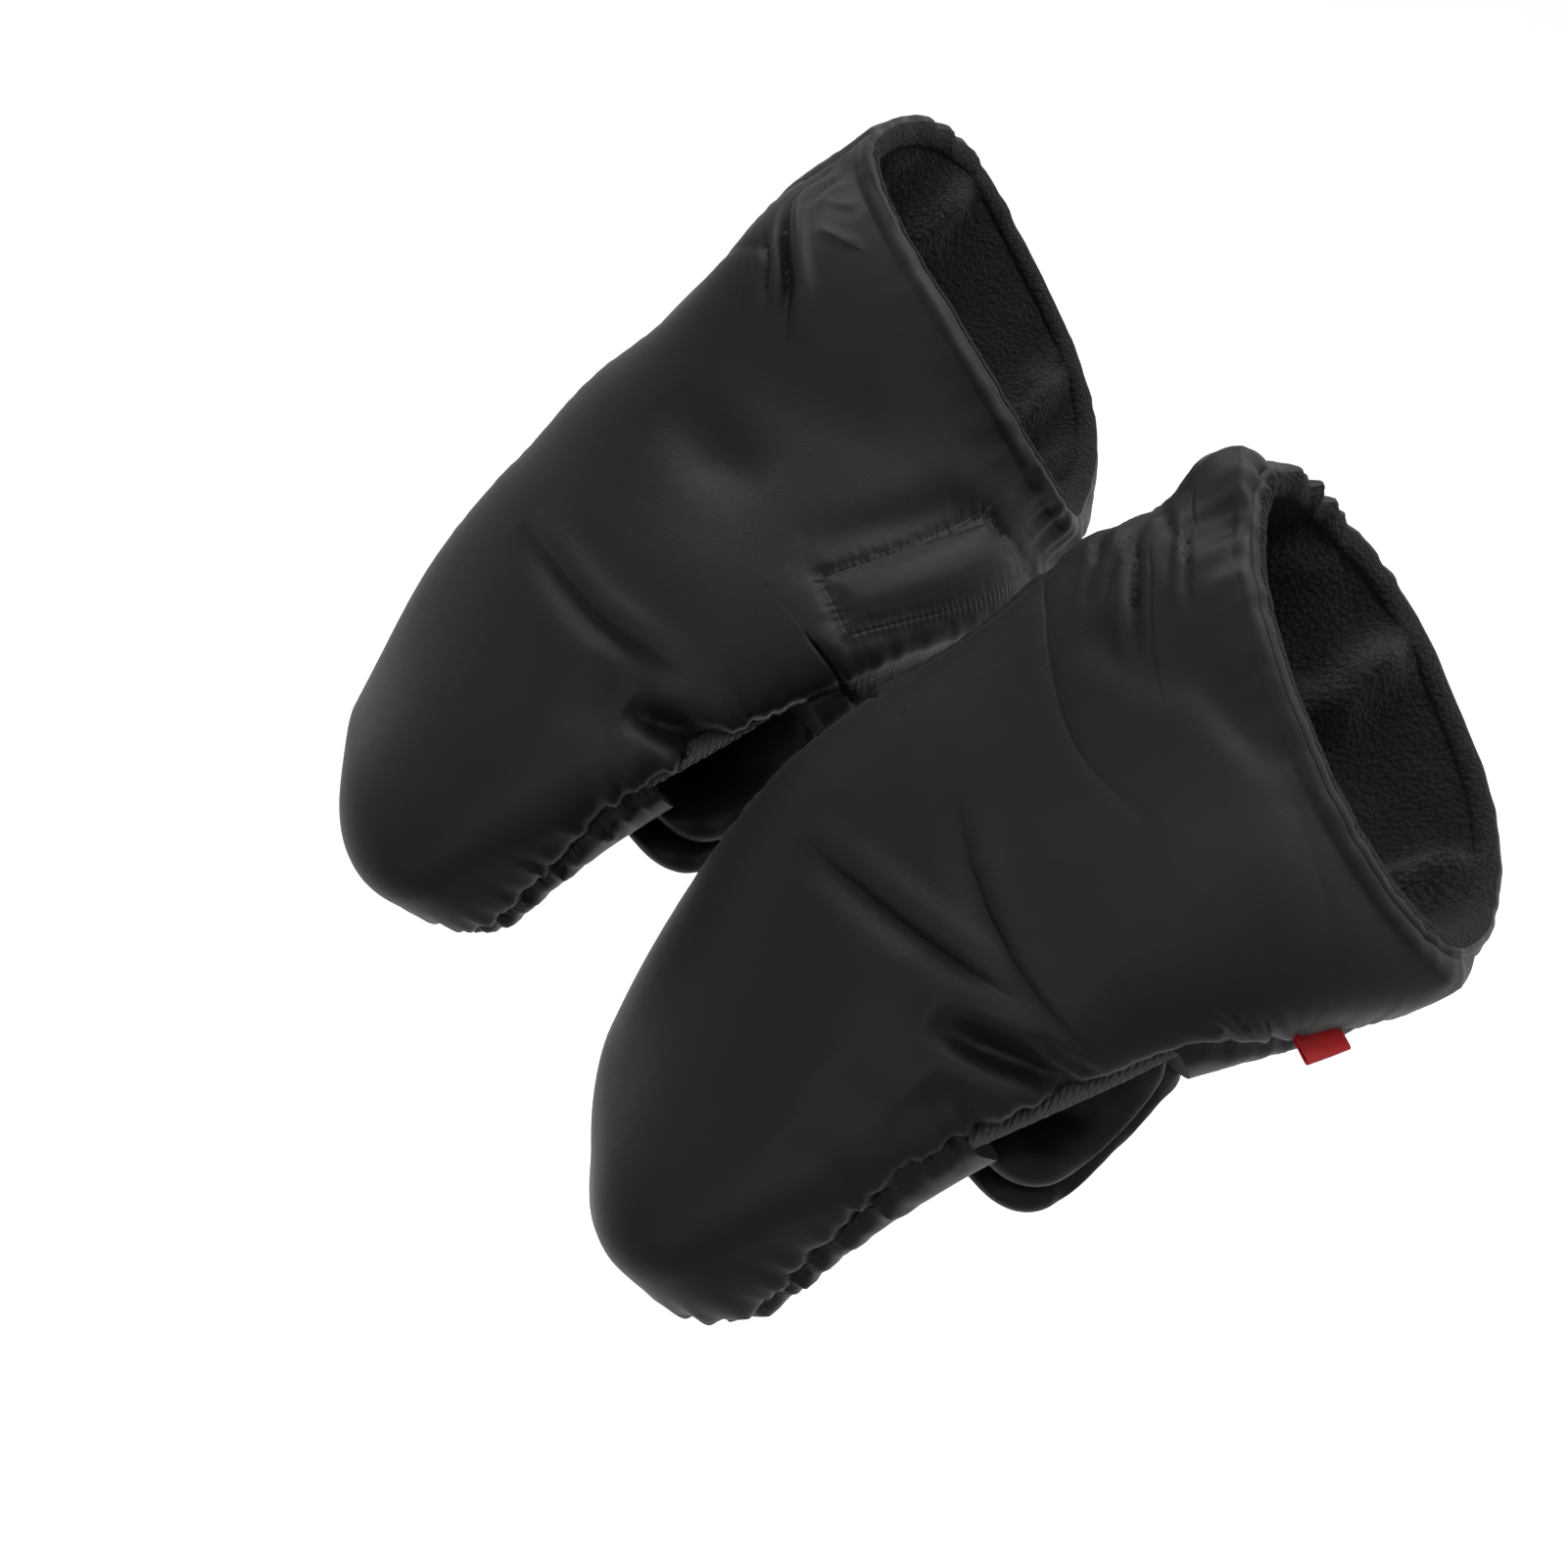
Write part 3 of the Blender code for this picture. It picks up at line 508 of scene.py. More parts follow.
# Broad swellings and dents of the padding: t, angle in degrees, height, reach
SWELLINGS = {
    "left": (
        (0.27, 180, -0.0058, 0.028), (0.98, 60, -0.0025, 0.024),
        (0.22, 336, 0.0068, 0.034), (0.36, 346, 0.0030, 0.026), (0.05, 318, -0.0060, 0.030),
        (0.01, 350, -0.0042, 0.017), (0.95, 335, 0.0040, 0.026),
        (0.025, 163, 0.0068, 0.014), (0.095, 170, -0.0045, 0.012), (0.00, 140, -0.0030, 0.010),
        (0.015, 120, 0.0020, 0.012), (0.09, 346, 0.0042, 0.020), (0.965, 175, -0.0028, 0.022),
        (0.80, 165, -0.0018, 0.045),
    ),
    "right": (
        (0.26, 4, -0.0062, 0.026), (0.20, 350, -0.0040, 0.024), (0.03, 20, -0.0035, 0.018),
        (0.14, 0, -0.0020, 0.016), (0.45, 190, 0.0065, 0.022), (0.28, 186, 0.0050, 0.034),
        (0.02, 150, -0.0050, 0.024), (0.16, 198, 0.0100, 0.030), (0.06, 215, 0.0050, 0.024),
        (0.065, 186, 0.0060, 0.020), (0.03, 345, -0.0032, 0.020), (0.19, 4, -0.0030, 0.015),
        (0.80, 20, -0.0018, 0.045),
    ),
}
# How far the rim is set back from its plane, at angles round it in degrees
RIM_SHIFT = {
    "left": ((0, 0.000), (50, -0.003), (90, -0.0055), (130, -0.0035), (160, 0.002),
             (185, -0.001), (215, -0.007), (240, -0.004), (280, 0.000), (335, -0.006),
             (360, 0.000)),
    "right": ((0, -0.0085), (25, -0.009), (60, -0.007), (90, -0.003), (135, -0.005),
              (180, -0.011), (230, -0.005), (300, 0.000), (330, -0.004), (345, -0.007),
              (360, -0.0085)),
}
RIM_SHIFT_REACH = 0.030
# Box stitching of the closure, corners as (t, angle in degrees)
BOX_STITCH = {
    "right": [(0.350, 131), (0.100, 125), (0.100, 158), (0.373, 156)],
    "left": [(0.345, 158), (0.190, 160), (0.190, 174), (0.360, 174)],
}
# Seam between the cuff band and the back panel, as far as it is drawn in
BAND_SEAM = {
    "left": [(0.180, 182), (0.200, 160), (0.225, 137), (0.260, 118), (0.283, 107), (0.299, 98),
             (0.305, 91), (0.300, 82)],
    "right": [(0.150, 40), (0.190, 20), (0.215, 4), (0.215, -2)],
}
# Seam round each muff's side: angle at t, which turns to the palm towards the finger tip
SEAM_PATHS = {
    "left": {"outer": ((0.0, -3.0), (0.10, -7.0), (0.21, -8.0), (0.33, -6.0), (0.44, 2.0),
                       (0.62, 6.0), (0.74, -1.0), (0.84, -17.0), (0.90, -30.0),
                       (0.985, -40.0)),
             "inner": ((0.0, 180.0), (0.62, 180.0), (0.985, 184.0))},
    "right": {"outer": ((0.0, 0.0), (0.62, 0.0), (0.985, -4.0)),
              "inner": ((0.0, 180.0), (0.62, 180.0), (0.72, 183.0), (0.81, 199.0),
                        (0.90, 211.0), (0.985, 216.0))},
}
# Share of a seam's length from where it is puckered, in the mesh and in the material
PUCKERED_FROM, PUCKERS_DRAWN_FROM = 0.48, 0.45
SEAM_DEPTH, SEAM_WIDTH = 0.0028, 0.0028
BAND_SEAM_DEPTH, BAND_SEAM_WIDTH = 0.0005, 0.0018
# Puckers: height, step, reach and seed; grooves: depth and width
SEAM_PUCKERS = ((0.0013, 0.0100, 0.010, 1.7), (0.0007, 0.0047, 0.005, 0.4))
BOX_PUCKERS = (0.00045, 0.0040, 0.0036)
BOX_GROOVES = ((0.0013, 0.0026), (0.0009, 0.0070))
BOX_STITCH_STRENGTH = 0.45
# How far from a line the material draws it, in mm, and the value that stands for no line near
FINE_REACH, SEWN_REACH, NO_LINE = 3.0, 5.0, 9.0
WORN_HEIGHT = 0.0015
# Lines too fine for the mesh, drawn by the material as bump and as painted shade: places, strength
FINE_LINES = {
    "left": (
        ([(0.430, 97), (0.468, 86), (0.492, 74), (0.507, 62), (0.516, 49), (0.518, 36),
          (0.513, 22)], 1.0),
        ([(0.566, 112), (0.563, 98), (0.557, 86), (0.551, 76), (0.543, 65), (0.528, 48)], 1.2),
        (BAND_SEAM["left"], 0.8),
        ([(0.088, 166), (0.130, 146), (0.180, 128)], 0.9),
        ([(0.104, 146), (0.116, 132), (0.150, 116), (0.190, 100)], 0.8),
        ([(0.050, 160), (0.056, 148), (0.050, 136)], 0.6),
        ([(0.386, 24), (0.376, 10), (0.374, -2)], 0.7),
        ([(0.354, 18), (0.352, 6), (0.350, -6)], 0.7),
    ),
    "right": (
        ([(0.030, 11), (0.073, 18), (0.098, 26), (0.118, 39), (0.150, 56), (0.200, 73)], 0.8),
        ([(0.150, 26), (0.175, 42), (0.215, 58)], 0.6),
        ([(0.078, 44), (0.058, 52), (0.035, 57)], 0.5),
        ([(0.544, 76), (0.557, 94), (0.560, 106), (0.556, 118), (0.544, 134)], 1.2),
    ),
}


def seam_angle(wall, which, t):
    """Angle of a side seam at each t, in radians."""
    places = np.array(SEAM_PATHS[wall.side][which])
    return np.radians(np.interp(t, places[:, 0], places[:, 1]))


def seam_places(wall, which):
    return [(t, math.degrees(seam_angle(wall, which, t))) for t in np.linspace(0, 0.985, 40)]


def puckered(line, start):
    """How much a seam is puckered: a little near the cuff, fully past the start."""
    return 0.25 + 0.75 * smoothstep(start, start + 0.10, line.run / line.length)


def box_lines(wall, points):
    """The four sewn lines of the closure's box stitching."""
    corners = BOX_STITCH[wall.side]
    return [Line(wall, [p, tuple(np.add(p, q) / 2), q], points)
            for p, q in zip(corners, corners[1:] + corners[:1])]


def rim_shift(wall, t, angles):
    """Move of the cloth near the rim along the muff, as vectors."""
    places = np.array(RIM_SHIFT[wall.side])
    degrees = np.degrees(angles) % 360
    u = np.linspace(0, 360, 361)
    smooth = np.interp(u, places[:, 0], places[:, 1])
    kernel = bell(np.arange(-40, 41), 18.0)
    smooth = np.convolve(np.concatenate([smooth[-41:-1], smooth, smooth[1:41]]),
                         kernel / kernel.sum(), "valid")
    fade = bell(np.asarray(t) * wall.length, RIM_SHIFT_REACH)
    return (np.interp(degrees, u, smooth) * fade)[..., None] * wall.rim_way()


def swell_of(wall, points):
    """Slow rise and fall of the padding over the plain wall."""
    total = drift(points, *CLOTH_DRIFT[wall.side])
    for t, degrees, height, reach in SWELLINGS[wall.side]:
        centre = wall.place(t, math.radians(degrees))
        total += height * bell(np.linalg.norm(points - centre, axis=-1), reach)
    return total


def folds_of(wall, points):
    """Folds, sewn lines and puckers of the outer cloth."""
    kinds = {"crease": crease, "tuck": tuck, "lap": lap, "valley": valley, "ridge": ridge}
    total = np.zeros(points.shape[:-1])
    for kind, places, depth, width in RELIEF[wall.side]:
        total += kinds[kind](Line(wall, places, points), depth, width)
    for turn, which in enumerate(("outer", "inner")):
        line = Line(wall, seam_places(wall, which), points)
        total += seam(line, SEAM_DEPTH, SEAM_WIDTH)
        for height, step, reach, seed in SEAM_PUCKERS:
            total += gathers(line, height, step, reach, seed + turn) * puckered(line, PUCKERED_FROM)
    band = Line(wall, BAND_SEAM[wall.side], points)
    drawn = np.clip(1.15 - band.run / band.length, 0, 1) ** 0.5
    total += seam(band, BAND_SEAM_DEPTH, BAND_SEAM_WIDTH) * drawn
    box = box_lines(wall, points)
    for turn, line in enumerate(box):
        total += gathers(line, *BOX_PUCKERS, 0.9 * turn + 0.3)
    nearest = np.min([line.gap for line in box], axis=0)
    for depth, width in BOX_GROOVES:
        total -= depth * bell(nearest, width)
    return total


def nearest_line(lines, shape, reach):
    """Signed gap and run in mm of the nearest of some lines, and its strength within reach."""
    gap, run, strength = np.full(shape, NO_LINE), np.zeros(shape), np.zeros(shape)
    for line, weight in lines:
        closer = line.gap * 1000 < np.abs(gap)
        gap = np.where(closer, line.side_gap * 1000, gap)
        run = np.where(closer, line.run * 1000, run)
        strength = np.where(closer, weight, strength)
    return gap, run, strength * smoothstep(reach, 0.65 * reach, np.abs(gap))


def cloth_fields(wall, points, relief):
    """What the cloth's material draws from: wear, fine lines with their painted shade, and puckers
    of sewn lines.
    """
    fine = []
    for places, weight in FINE_LINES[wall.side]:
        line = Line(wall, places, points)
        fine.append((line, weight * line.fade()))
    sewn = [(line, BOX_STITCH_STRENGTH) for line in box_lines(wall, points)]
    for which in ("outer", "inner"):
        line = Line(wall, seam_places(wall, which), points)
        sewn.append((line, puckered(line, PUCKERS_DRAWN_FROM)))
    shape = points.shape[:-1]
    line_gap, _, line_strength = nearest_line(fine, shape, FINE_REACH)
    sewn_gap, sewn_run, sewn_strength = nearest_line(sewn, shape, SEWN_REACH)
    return {"worn": np.clip(relief / WORN_HEIGHT, 0, 1), "line_gap": line_gap,
            "line_strength": line_strength, "sewn_gap": sewn_gap, "sewn_run": sewn_run,
            "sewn_strength": sewn_strength}


class FlapPatch:
    """The part of the outer cloth's grid that the closure flap lies over."""

    def __init__(self, wall, t, angles, base):
        inside = np.flatnonzero((t >= wall.closure_start) & (t <= wall.closure_end))
        self.rows = slice(inside[0], inside[-1] + 1)
        middle = inside[len(inside) // 2]
        first = np.argmin(np.abs(angles[middle] - CLOSURE_TOP))
        last = np.argmin(np.abs(angles[middle] - CLOSURE_BOTTOM))
        self.columns = slice(first, last + 1)
        steps = np.linalg.norm(np.diff(base[middle], axis=0), axis=1)
        run = np.concatenate([[0], np.cumsum(steps)])
        self.from_fold = (run - run[first])[None, :]
        self.to_free = (run[last] - run)[None, :]
        along = t * wall.length
        self.to_back = (along - along[inside[0]])[:, None]
        self.to_front = (along[inside[-1]] - along)[:, None]
        self.loose = smoothstep(LOOSE_FROM, LOOSE_TO, self.from_fold)

    def sunk(self):
        """Share of the pocket's depth by which the cloth gives way under the flap."""
        held = smoothstep(0, 0.006, self.to_front)
        free = smoothstep(-0.0010, 0.0014, self.to_front)
        return (smoothstep(0, 0.010, self.from_fold) * smoothstep(0, 0.006, self.to_back)
                * smoothstep(-0.0012, 0.0014, self.to_free)
                * (held * (1 - self.loose) + free * self.loose))

    def level(self):
        """Height of the flap's face over the plain cloth, rounded off at its free edges."""
        lifted = CLOSURE_LIFT * self.loose * smoothstep(0, 0.014, self.to_back)
        for gap, share in ((self.to_front, self.loose), (self.to_free, 1.0)):
            edge = 1 - np.clip(gap / CLOSURE_EDGE, 0, 1)
            lifted = lifted - CLOSURE_EDGE_DROP * share * (1 - np.sqrt(1 - edge ** 2))
        return lifted

    def cut(self, grid):
        return grid[self.rows, self.columns]


def rows_along(wall, cells, tip_rows):
    """Places t along the muff: cells of one length over each stretch, closer at the tip."""
    stops = (0, wall.window_back, wall.window_front, TIP_START)
    rows = [np.zeros(1)]
    for start, end, cell in zip(stops, stops[1:], cells):
        count = max(2, round((end - start) * wall.length / cell))
        rows.append(np.linspace(start, end, count + 1)[1:])
    turn = np.linspace(0, math.pi / 2, tip_rows)
    rows.append((TIP_START + (1 - TIP_START) * np.sin(turn))[1:])
    return np.concatenate(rows)


def angles_round(wall, t, outer_seam, inner_seam, counts):
    """Even angles round each section: over the back of the hand, then over the palm."""
    back = wall.even_angles(t, outer_seam, inner_seam, counts[0])
    palm = wall.even_angles(t, inner_seam, outer_seam + 2 * math.pi, counts[1])
    return np.concatenate([back, palm[:, 1:-1]], axis=1)


def make_closure(wall, patch, base, normals, folds, sunk, fields):
    """Side flap of the cuff, on the cloth's own grid, so that it runs on from it at its fold."""
    body = f"closure_flap_{wall.side}_body"
    face = np.maximum(folds, -CLOSURE_DIP - CLOSURE_DIP_BESIDE * (1 - sunk)) + patch.level()
    under = np.minimum(0.3 * folds - CLOSURE_THICK * sunk, face - CLOSURE_LEAST)
    outer = wall.world(patch.cut(base + normals * face[..., None]))
    inner = wall.world(patch.cut(base + normals * under[..., None]))
    values = mesh_values({key: patch.cut(field) for key, field in fields.items()})
    piece = closed_between(f"closure_flap_{wall.side}_cloth", outer, inner, attributes=values)
    finish_piece(piece, "shell_nylon", None, [f"closure_flap_{wall.side}"])
    fold, free = outer[:, 0], outer[:, -1]
    _, axis = joint_of(f"closure_hinge_{wall.side}")
    way = free.mean(axis=0) - fold.mean(axis=0)
    way = unit(way - axis * (way @ axis))
    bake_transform(piece)
    inset = CLOSURE_STRIP_INSET * (wall.closure_end - wall.closure_start)
    t_range = (wall.closure_start + inset, wall.closure_end - inset)
    make_strip(wall, "closure_loop_strip", t_range, CLOSURE_STRIP_ANGLES, LOOP_LEVEL, "muffs", True)
    make_strip(wall, "closure_hook_strip", t_range, CLOSURE_STRIP_ANGLES, HOOK_LEVEL, body, True)


def rim_ripple(wall, angles):
    """Uneven reach of the rolled rim round the cuff, gathered where the elastic draws it in."""
    middle, most = RIM_GATHERED[wall.side]
    away = (np.degrees(angles) - middle + 180) % 360 - 180
    full = 0.12 + most * bell(away, 35)
    run = angles * CUFF_HALF_WIDTH
    return ROLL_REACH * (1 + 0.55 * full * waves(run, 0.019, 2.0 * wall.mirror)
                         + 0.12 * full * waves(run, 0.010, 1.0 + wall.mirror))


def rim_rows(wall, angles, turns, raised=0.0, share=1.0):
    """Rows of points round the rolled rim; turn 0 lies on the outer face, pi on the inner."""
    ripple = rim_ripple(wall, angles)
    zero = np.zeros(len(angles))
    shift = rim_shift(wall, zero, angles)
    rows = []
    for turn, more in zip(turns, np.broadcast_to(raised, np.shape(turns))):
        inset = WALL / 2 * (1 - share * math.cos(turn)) - more * math.cos(turn)
        reach = (share * ripple + more) * math.sin(turn)
        rows.append(wall.place(zero, angles, inset) + wall.rim_way() * reach[:, None] + shift)
    return np.array(rows)


def cell_places(t, roll_rows):
    """Place t of each row of cells, where the rim's rows lie just before the first place."""
    t = np.concatenate([np.full(roll_rows, -0.01), t])
    return (t[:-1] + t[1:]) / 2


def mesh_values(fields, roll_rows=0):
    """Values of the cloth's material, for the outer and then the inner points of its mesh."""
    made = []
    for key, field in fields.items():
        unlined = NO_LINE if "gap" in key else 0.0
        rim = np.full((roll_rows, field.shape[1]), 0.6 if key == "worn" else unlined)
        outer = np.concatenate([rim, field]).reshape(-1)
        made.append((key, np.concatenate([outer, np.full(len(outer), unlined)])))
    return made


def rim_gathers(wall, t, angles):
    """Small gathers of the cloth just inside the rim, most where the elastic draws it in."""
    height, step, reach = RIM_GATHERS
    middle, width = RIM_GATHERS_AT
    near_rim = bell(t[:, None] * wall.length, reach)
    full = 0.20 + 0.80 * bell(np.degrees(angles), width, middle)
    return height * near_rim * full * waves(angles * CUFF_HALF_WIDTH, step, 0.8 * wall.mirror)


def make_skin(wall):
    """Outer cloth of one muff as three padded panels, with the rim rolled over."""
    t = rows_along(wall, SKIN_CELLS, SKIN_TIP_ROWS)
    counts = (round(BACK_RUN / BACK_CELL), round(PALM_RUN / PALM_CELL))
    angles = angles_round(wall, t, seam_angle(wall, "outer", t), seam_angle(wall, "inner", t),
                          counts)
    outer = wall.place(t[:, None], angles)
    normals = outward_normals(outer, wall.centre(t)[:, None, :], wrap=True)
    fade = smoothstep(1.0, PLAIN_FROM, t)[:, None]
    swell = swell_of(wall, outer) * fade
    folds = (folds_of(wall, outer) + rim_gathers(wall, t, angles)) * fade
    fields = cloth_fields(wall, outer, folds)
    shift = rim_shift(wall, t[:, None], angles)
    patch = FlapPatch(wall, t, angles, outer)
    sunk = patch.sunk()
    make_closure(wall, patch, outer + normals * swell[..., None] + shift, normals, folds, sunk,
                 fields)
    height = swell + folds * (1 - FOLDS_PRESSED * sunk) - POCKET_DEPTH * sunk
    shaped = outer + normals * height[..., None] + shift
    inner = wall.place(t[:, None], angles, SKIN_INNER) + shift
    shaped[-1], inner[-1] = shaped[-1].mean(axis=0), inner[-1].mean(axis=0)

    turns = np.linspace(ROLL_END, 0, ROLL_ROWS + 1)[:-1]
    ease = np.clip(1 - turns / ROLL_END, 0, 1)[:, None, None] ** 0.7
    rolls = rim_rows(wall, angles[0], turns) + ease * (shaped[0] - outer[0] - shift[0])[None]
    cores = rim_rows(wall, angles[0], turns, share=0.1)
    outer_grid = wall.world(np.concatenate([rolls, shaped]))
    inner_grid = np.concatenate([cores, inner])
    inner_grid[ROLL_ROWS - 1] = (inner_grid[ROLL_ROWS - 2] + inner[0]) / 2
    inner_grid = wall.world(inner_grid)

    values = mesh_values(fields, ROLL_ROWS)
    cell_t = cell_places(t, ROLL_ROWS)[:, None]
    on_back = (np.arange(angles.shape[1]) < counts[0])[None, :]
    everywhere = np.ones(cell_t.shape, bool)
    for name, keep, stands_for in (
            ("back_panel", on_back & everywhere, ("cuff_band", "back_wadding", "cuff_elastic")),
            ("palm_panel", ~on_back & (cell_t < wall.window_back), ("palm_wadding",)),
            ("finger_panel", ~on_back & (cell_t > wall.window_front), ("finger_wadding",))):
        piece = closed_between(f"{name}_{wall.side}_cloth", outer_grid, inner_grid, keep, True,
                               values)
        finish_piece(piece, "shell_nylon", "muffs",
                     [f"{n}_{wall.side}" for n in (name, *stands_for)])


def make_hem(wall):
    """Fine piped edge along the rim, where nylon meets fleece."""
    angles = angles_round(wall, np.zeros(1), 0.0, math.pi, HEM_COLUMNS)[0]
    steps = np.linspace(0, 1, PIPING_ROWS)
    turns = ROLL_END - PIPING_LAPPED + (PIPING_END - ROLL_END + PIPING_SPREAD) * steps
    plump = np.sqrt(np.clip(1 - (2 * steps - 1) ** 2, 0, 1))
    outer = rim_rows(wall, angles, turns, PIPING_RAISED[wall.side] * plump - PIPING_SEAT)
    inner = rim_rows(wall, angles, turns, PIPING_INNER)
    piece = closed_between(f"cuff_hem_{wall.side}_cloth", wall.world(outer), wall.world(inner),
                           None, True)
    finish_piece(piece, "shell_nylon", "muffs", [f"cuff_hem_{wall.side}"])


# Height at which a fold of the lining counts as fully raised, where the fleece's painted shade ends
FULLY_RAISED = 0.008
# Folds of the loose lining just inside each cuff: places, height, width
LINING_FOLDS = {
    "left": (
        ([(-0.02, 257), (0.00, 260), (0.034, 265), (0.076, 268), (0.18, 266)], 0.0170, 0.0085),
        ([(-0.02, 317), (0.038, 314), (0.084, 311), (0.18, 304)], 0.0150, 0.0090),
        ([(-0.02, 224), (0.08, 222), (0.20, 217)], 0.0090, 0.0120),
        ([(0.02, 140), (0.12, 130), (0.24, 120)], 0.0030, 0.010),
    ),
    "right": (
        ([(-0.02, 250), (0.038, 248), (0.18, 240)], 0.0120, 0.0085),
        ([(-0.02, 296), (0.029, 294), (0.20, 284)], 0.0120, 0.0095),
        ([(-0.02, 205), (0.10, 205), (0.20, 205)], 0.0060, 0.0100),
        ([(0.02, 330), (0.10, 325), (0.20, 320)], 0.0040, 0.0100),
    ),
}


def lining_folds(wall, t, inner):
    """Height of the lining's loose folds, and how far each point is raised, from 0 to 1."""
    folds = drift(inner, *LINING_DRIFT)
    for places, height, width in LINING_FOLDS[wall.side]:
        line = Line(wall, places, inner)
        gap = np.sqrt(np.maximum(line.gap ** 2 - (0.9 * WALL) ** 2, 0))
        gap = gap * np.where(line.side_gap > 0, 1.0, 1.5)
        folds = folds + height * bell(gap, width) * np.clip(1.15 - line.run / line.length, 0, 1)
    opened = 0.22 + 0.78 * smoothstep(-0.004, 0.030, t)
    folds = np.clip(folds, 0, None) * (smoothstep(0.95, 0.80, t) * opened)[:, None]
    folds = folds * smoothstep(0.05, 0.09, np.abs(t - 0.5))[:, None]
    return folds, np.clip(folds / FULLY_RAISED, 0, 1)


def make_lining(wall):
    """Fleece sack, open at the cuff and over the bar's window, with its loose folds."""
    t = rows_along(wall, LINING_CELLS, LINING_TIP_ROWS)
    angles = angles_round(wall, t, 0.0, math.pi, LINING_COLUMNS)
    inner = wall.place(t[:, None], angles, WALL)
    normals = outward_normals(inner, wall.centre(t)[:, None, :], wrap=True)
    folds, raised = lining_folds(wall, t, inner)
    shift = rim_shift(wall, t[:, None], angles)
    shaped = inner - normals * folds[..., None] + shift
    outer = wall.place(t[:, None], angles, LINING_OUTER) + shift
    shaped[-1], outer[-1] = shaped[-1].mean(axis=0), outer[-1].mean(axis=0)

    turns = np.linspace(PIPING_END - LINING_LAPPED, math.pi, LINING_ROLL_ROWS + 1)[:-1]
    ease = (turns / math.pi)[:, None, None] ** 4
    rolls = rim_rows(wall, angles[0], turns, LINING_RAISED)
    rolls = rolls + ease * (shaped[0] - inner[0] - shift[0])[None]
    cores = rim_rows(wall, angles[0], turns, share=0.55)
    shaped = np.concatenate([rolls, shaped])
    outer = np.concatenate([cores, outer])
    raised = np.concatenate([np.full((len(turns), raised.shape[1]), 0.30), raised]).ravel()
    # raised also sets the fleece's painted shade: its colour is darker where the folds are low
    values = [("raised", np.concatenate([np.zeros_like(raised), raised]))]

    cell_t = cell_places(t, LINING_ROLL_ROWS)
    over_window = (cell_t > wall.window_back) & (cell_t < wall.window_front)
    on_palm = np.arange(angles.shape[1]) >= LINING_COLUMNS[0]
    keep = ~(over_window[:, None] & on_palm[None, :])
    piece = closed_between(f"fleece_lining_{wall.side}_cloth", wall.world(outer),
                           wall.world(shaped), keep, True, values)
    finish_piece(piece, "fleece", "muffs", [f"fleece_lining_{wall.side}"])


def pillow(name, middle, normals, half):
    """Closed form either side of a middle surface; half is its half thickness per point."""
    half = half[..., None]
    return closed_between(name, middle + normals * half, middle - normals * half)


def vertex_places(mesh):
    flat = np.empty(len(mesh.vertices) * 3)
    mesh.vertices.foreach_get("co", flat)
    return flat.reshape(-1, 3)


def swell_pad(piece):
    """Fills a pad by a short cloth simulation, then rounds it with one subdivision."""
    mesh = piece.data
    scene = bpy.context.scene
    plain = vertex_places(mesh)
    cloth = piece.modifiers.new("Cloth", "CLOTH")
    cloth.settings.quality = CLOTH_QUALITY
    cloth.settings.mass = CLOTH_MASS
    cloth.settings.use_pressure = True
    cloth.settings.uniform_pressure_force = PAD_PRESSURE
    cloth.settings.effector_weights.gravity = 0.0
    cloth.settings.shrink_min = CLOTH_SHRINK
    cloth.point_cache.frame_start = 1
    cloth.point_cache.frame_end = CLOTH_FRAMES
    for step in range(1, CLOTH_FRAMES + 1):
        scene.frame_set(step)
    filled = piece.evaluated_get(bpy.context.evaluated_depsgraph_get()).to_mesh()
    move = vertex_places(filled) - plain
    size = np.linalg.norm(move, axis=1, keepdims=True)
    move *= np.minimum(1.0, PAD_CAP / np.maximum(size, 1e-9))
    piece.modifiers.remove(cloth)
    mesh.vertices.foreach_set("co", (plain + move).ravel())
    mesh.update()
    scene.frame_set(1)
    rounding = piece.modifiers.new("Subdivision", "SUBSURF")
    rounding.levels = 1
    graph = bpy.context.evaluated_depsgraph_get()
    piece.data = bpy.data.meshes.new_from_object(piece.evaluated_get(graph))
    piece.modifiers.clear()


def make_bindings(wall):
    """Gathered bindings along the wall's lower edges, where it crosses over the bar."""
    t = np.linspace(wall.window_back, wall.window_front, BINDING_ROWS)
    for name, angle in (("outer_grip_binding", 0.0), ("inner_grip_binding", math.pi)):
        outer = wall.place(t, angle, BINDING_INSET, -LAYER_GAP)
        inner = wall.place(t, angle, WALL - BINDING_INSET, -LAYER_GAP)
        run = np.linspace(0, 1, len(t)) * BINDING_RUN
        thick = BINDING_THICKNESS * (1 + 0.22 * waves(run, BINDING_STEP, 1.0 + angle))
        down = -wall.frame(t)[1]
        middle = (outer + inner) / 2
        half = (outer - inner) / 2
        grid = np.stack([middle + half * math.cos(a)
                         + down * (thick * (0.45 + math.sin(a)))[:, None]
                         for a in np.linspace(0, 2 * math.pi, BINDING_TURNS + 1)[:-1]], axis=1)
        core = grid.mean(axis=1, keepdims=True)
        piece = closed_between(f"{name}_{wall.side}_cloth", wall.world(grid),
                               wall.world(core + (grid - core) * 0.2), None, True)
        finish_piece(piece, "binding", "muffs", [f"{name}_{wall.side}"])


def finish_piece(piece, slot, body, nodes):
    """Material of its slot, hidden CAD nodes and, when a body is given, body of a piece."""
    piece.data.materials.clear()
    piece.data.materials.append(MATERIALS[slot])
    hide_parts(*nodes)
    if body:
        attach(piece, body)
    return piece


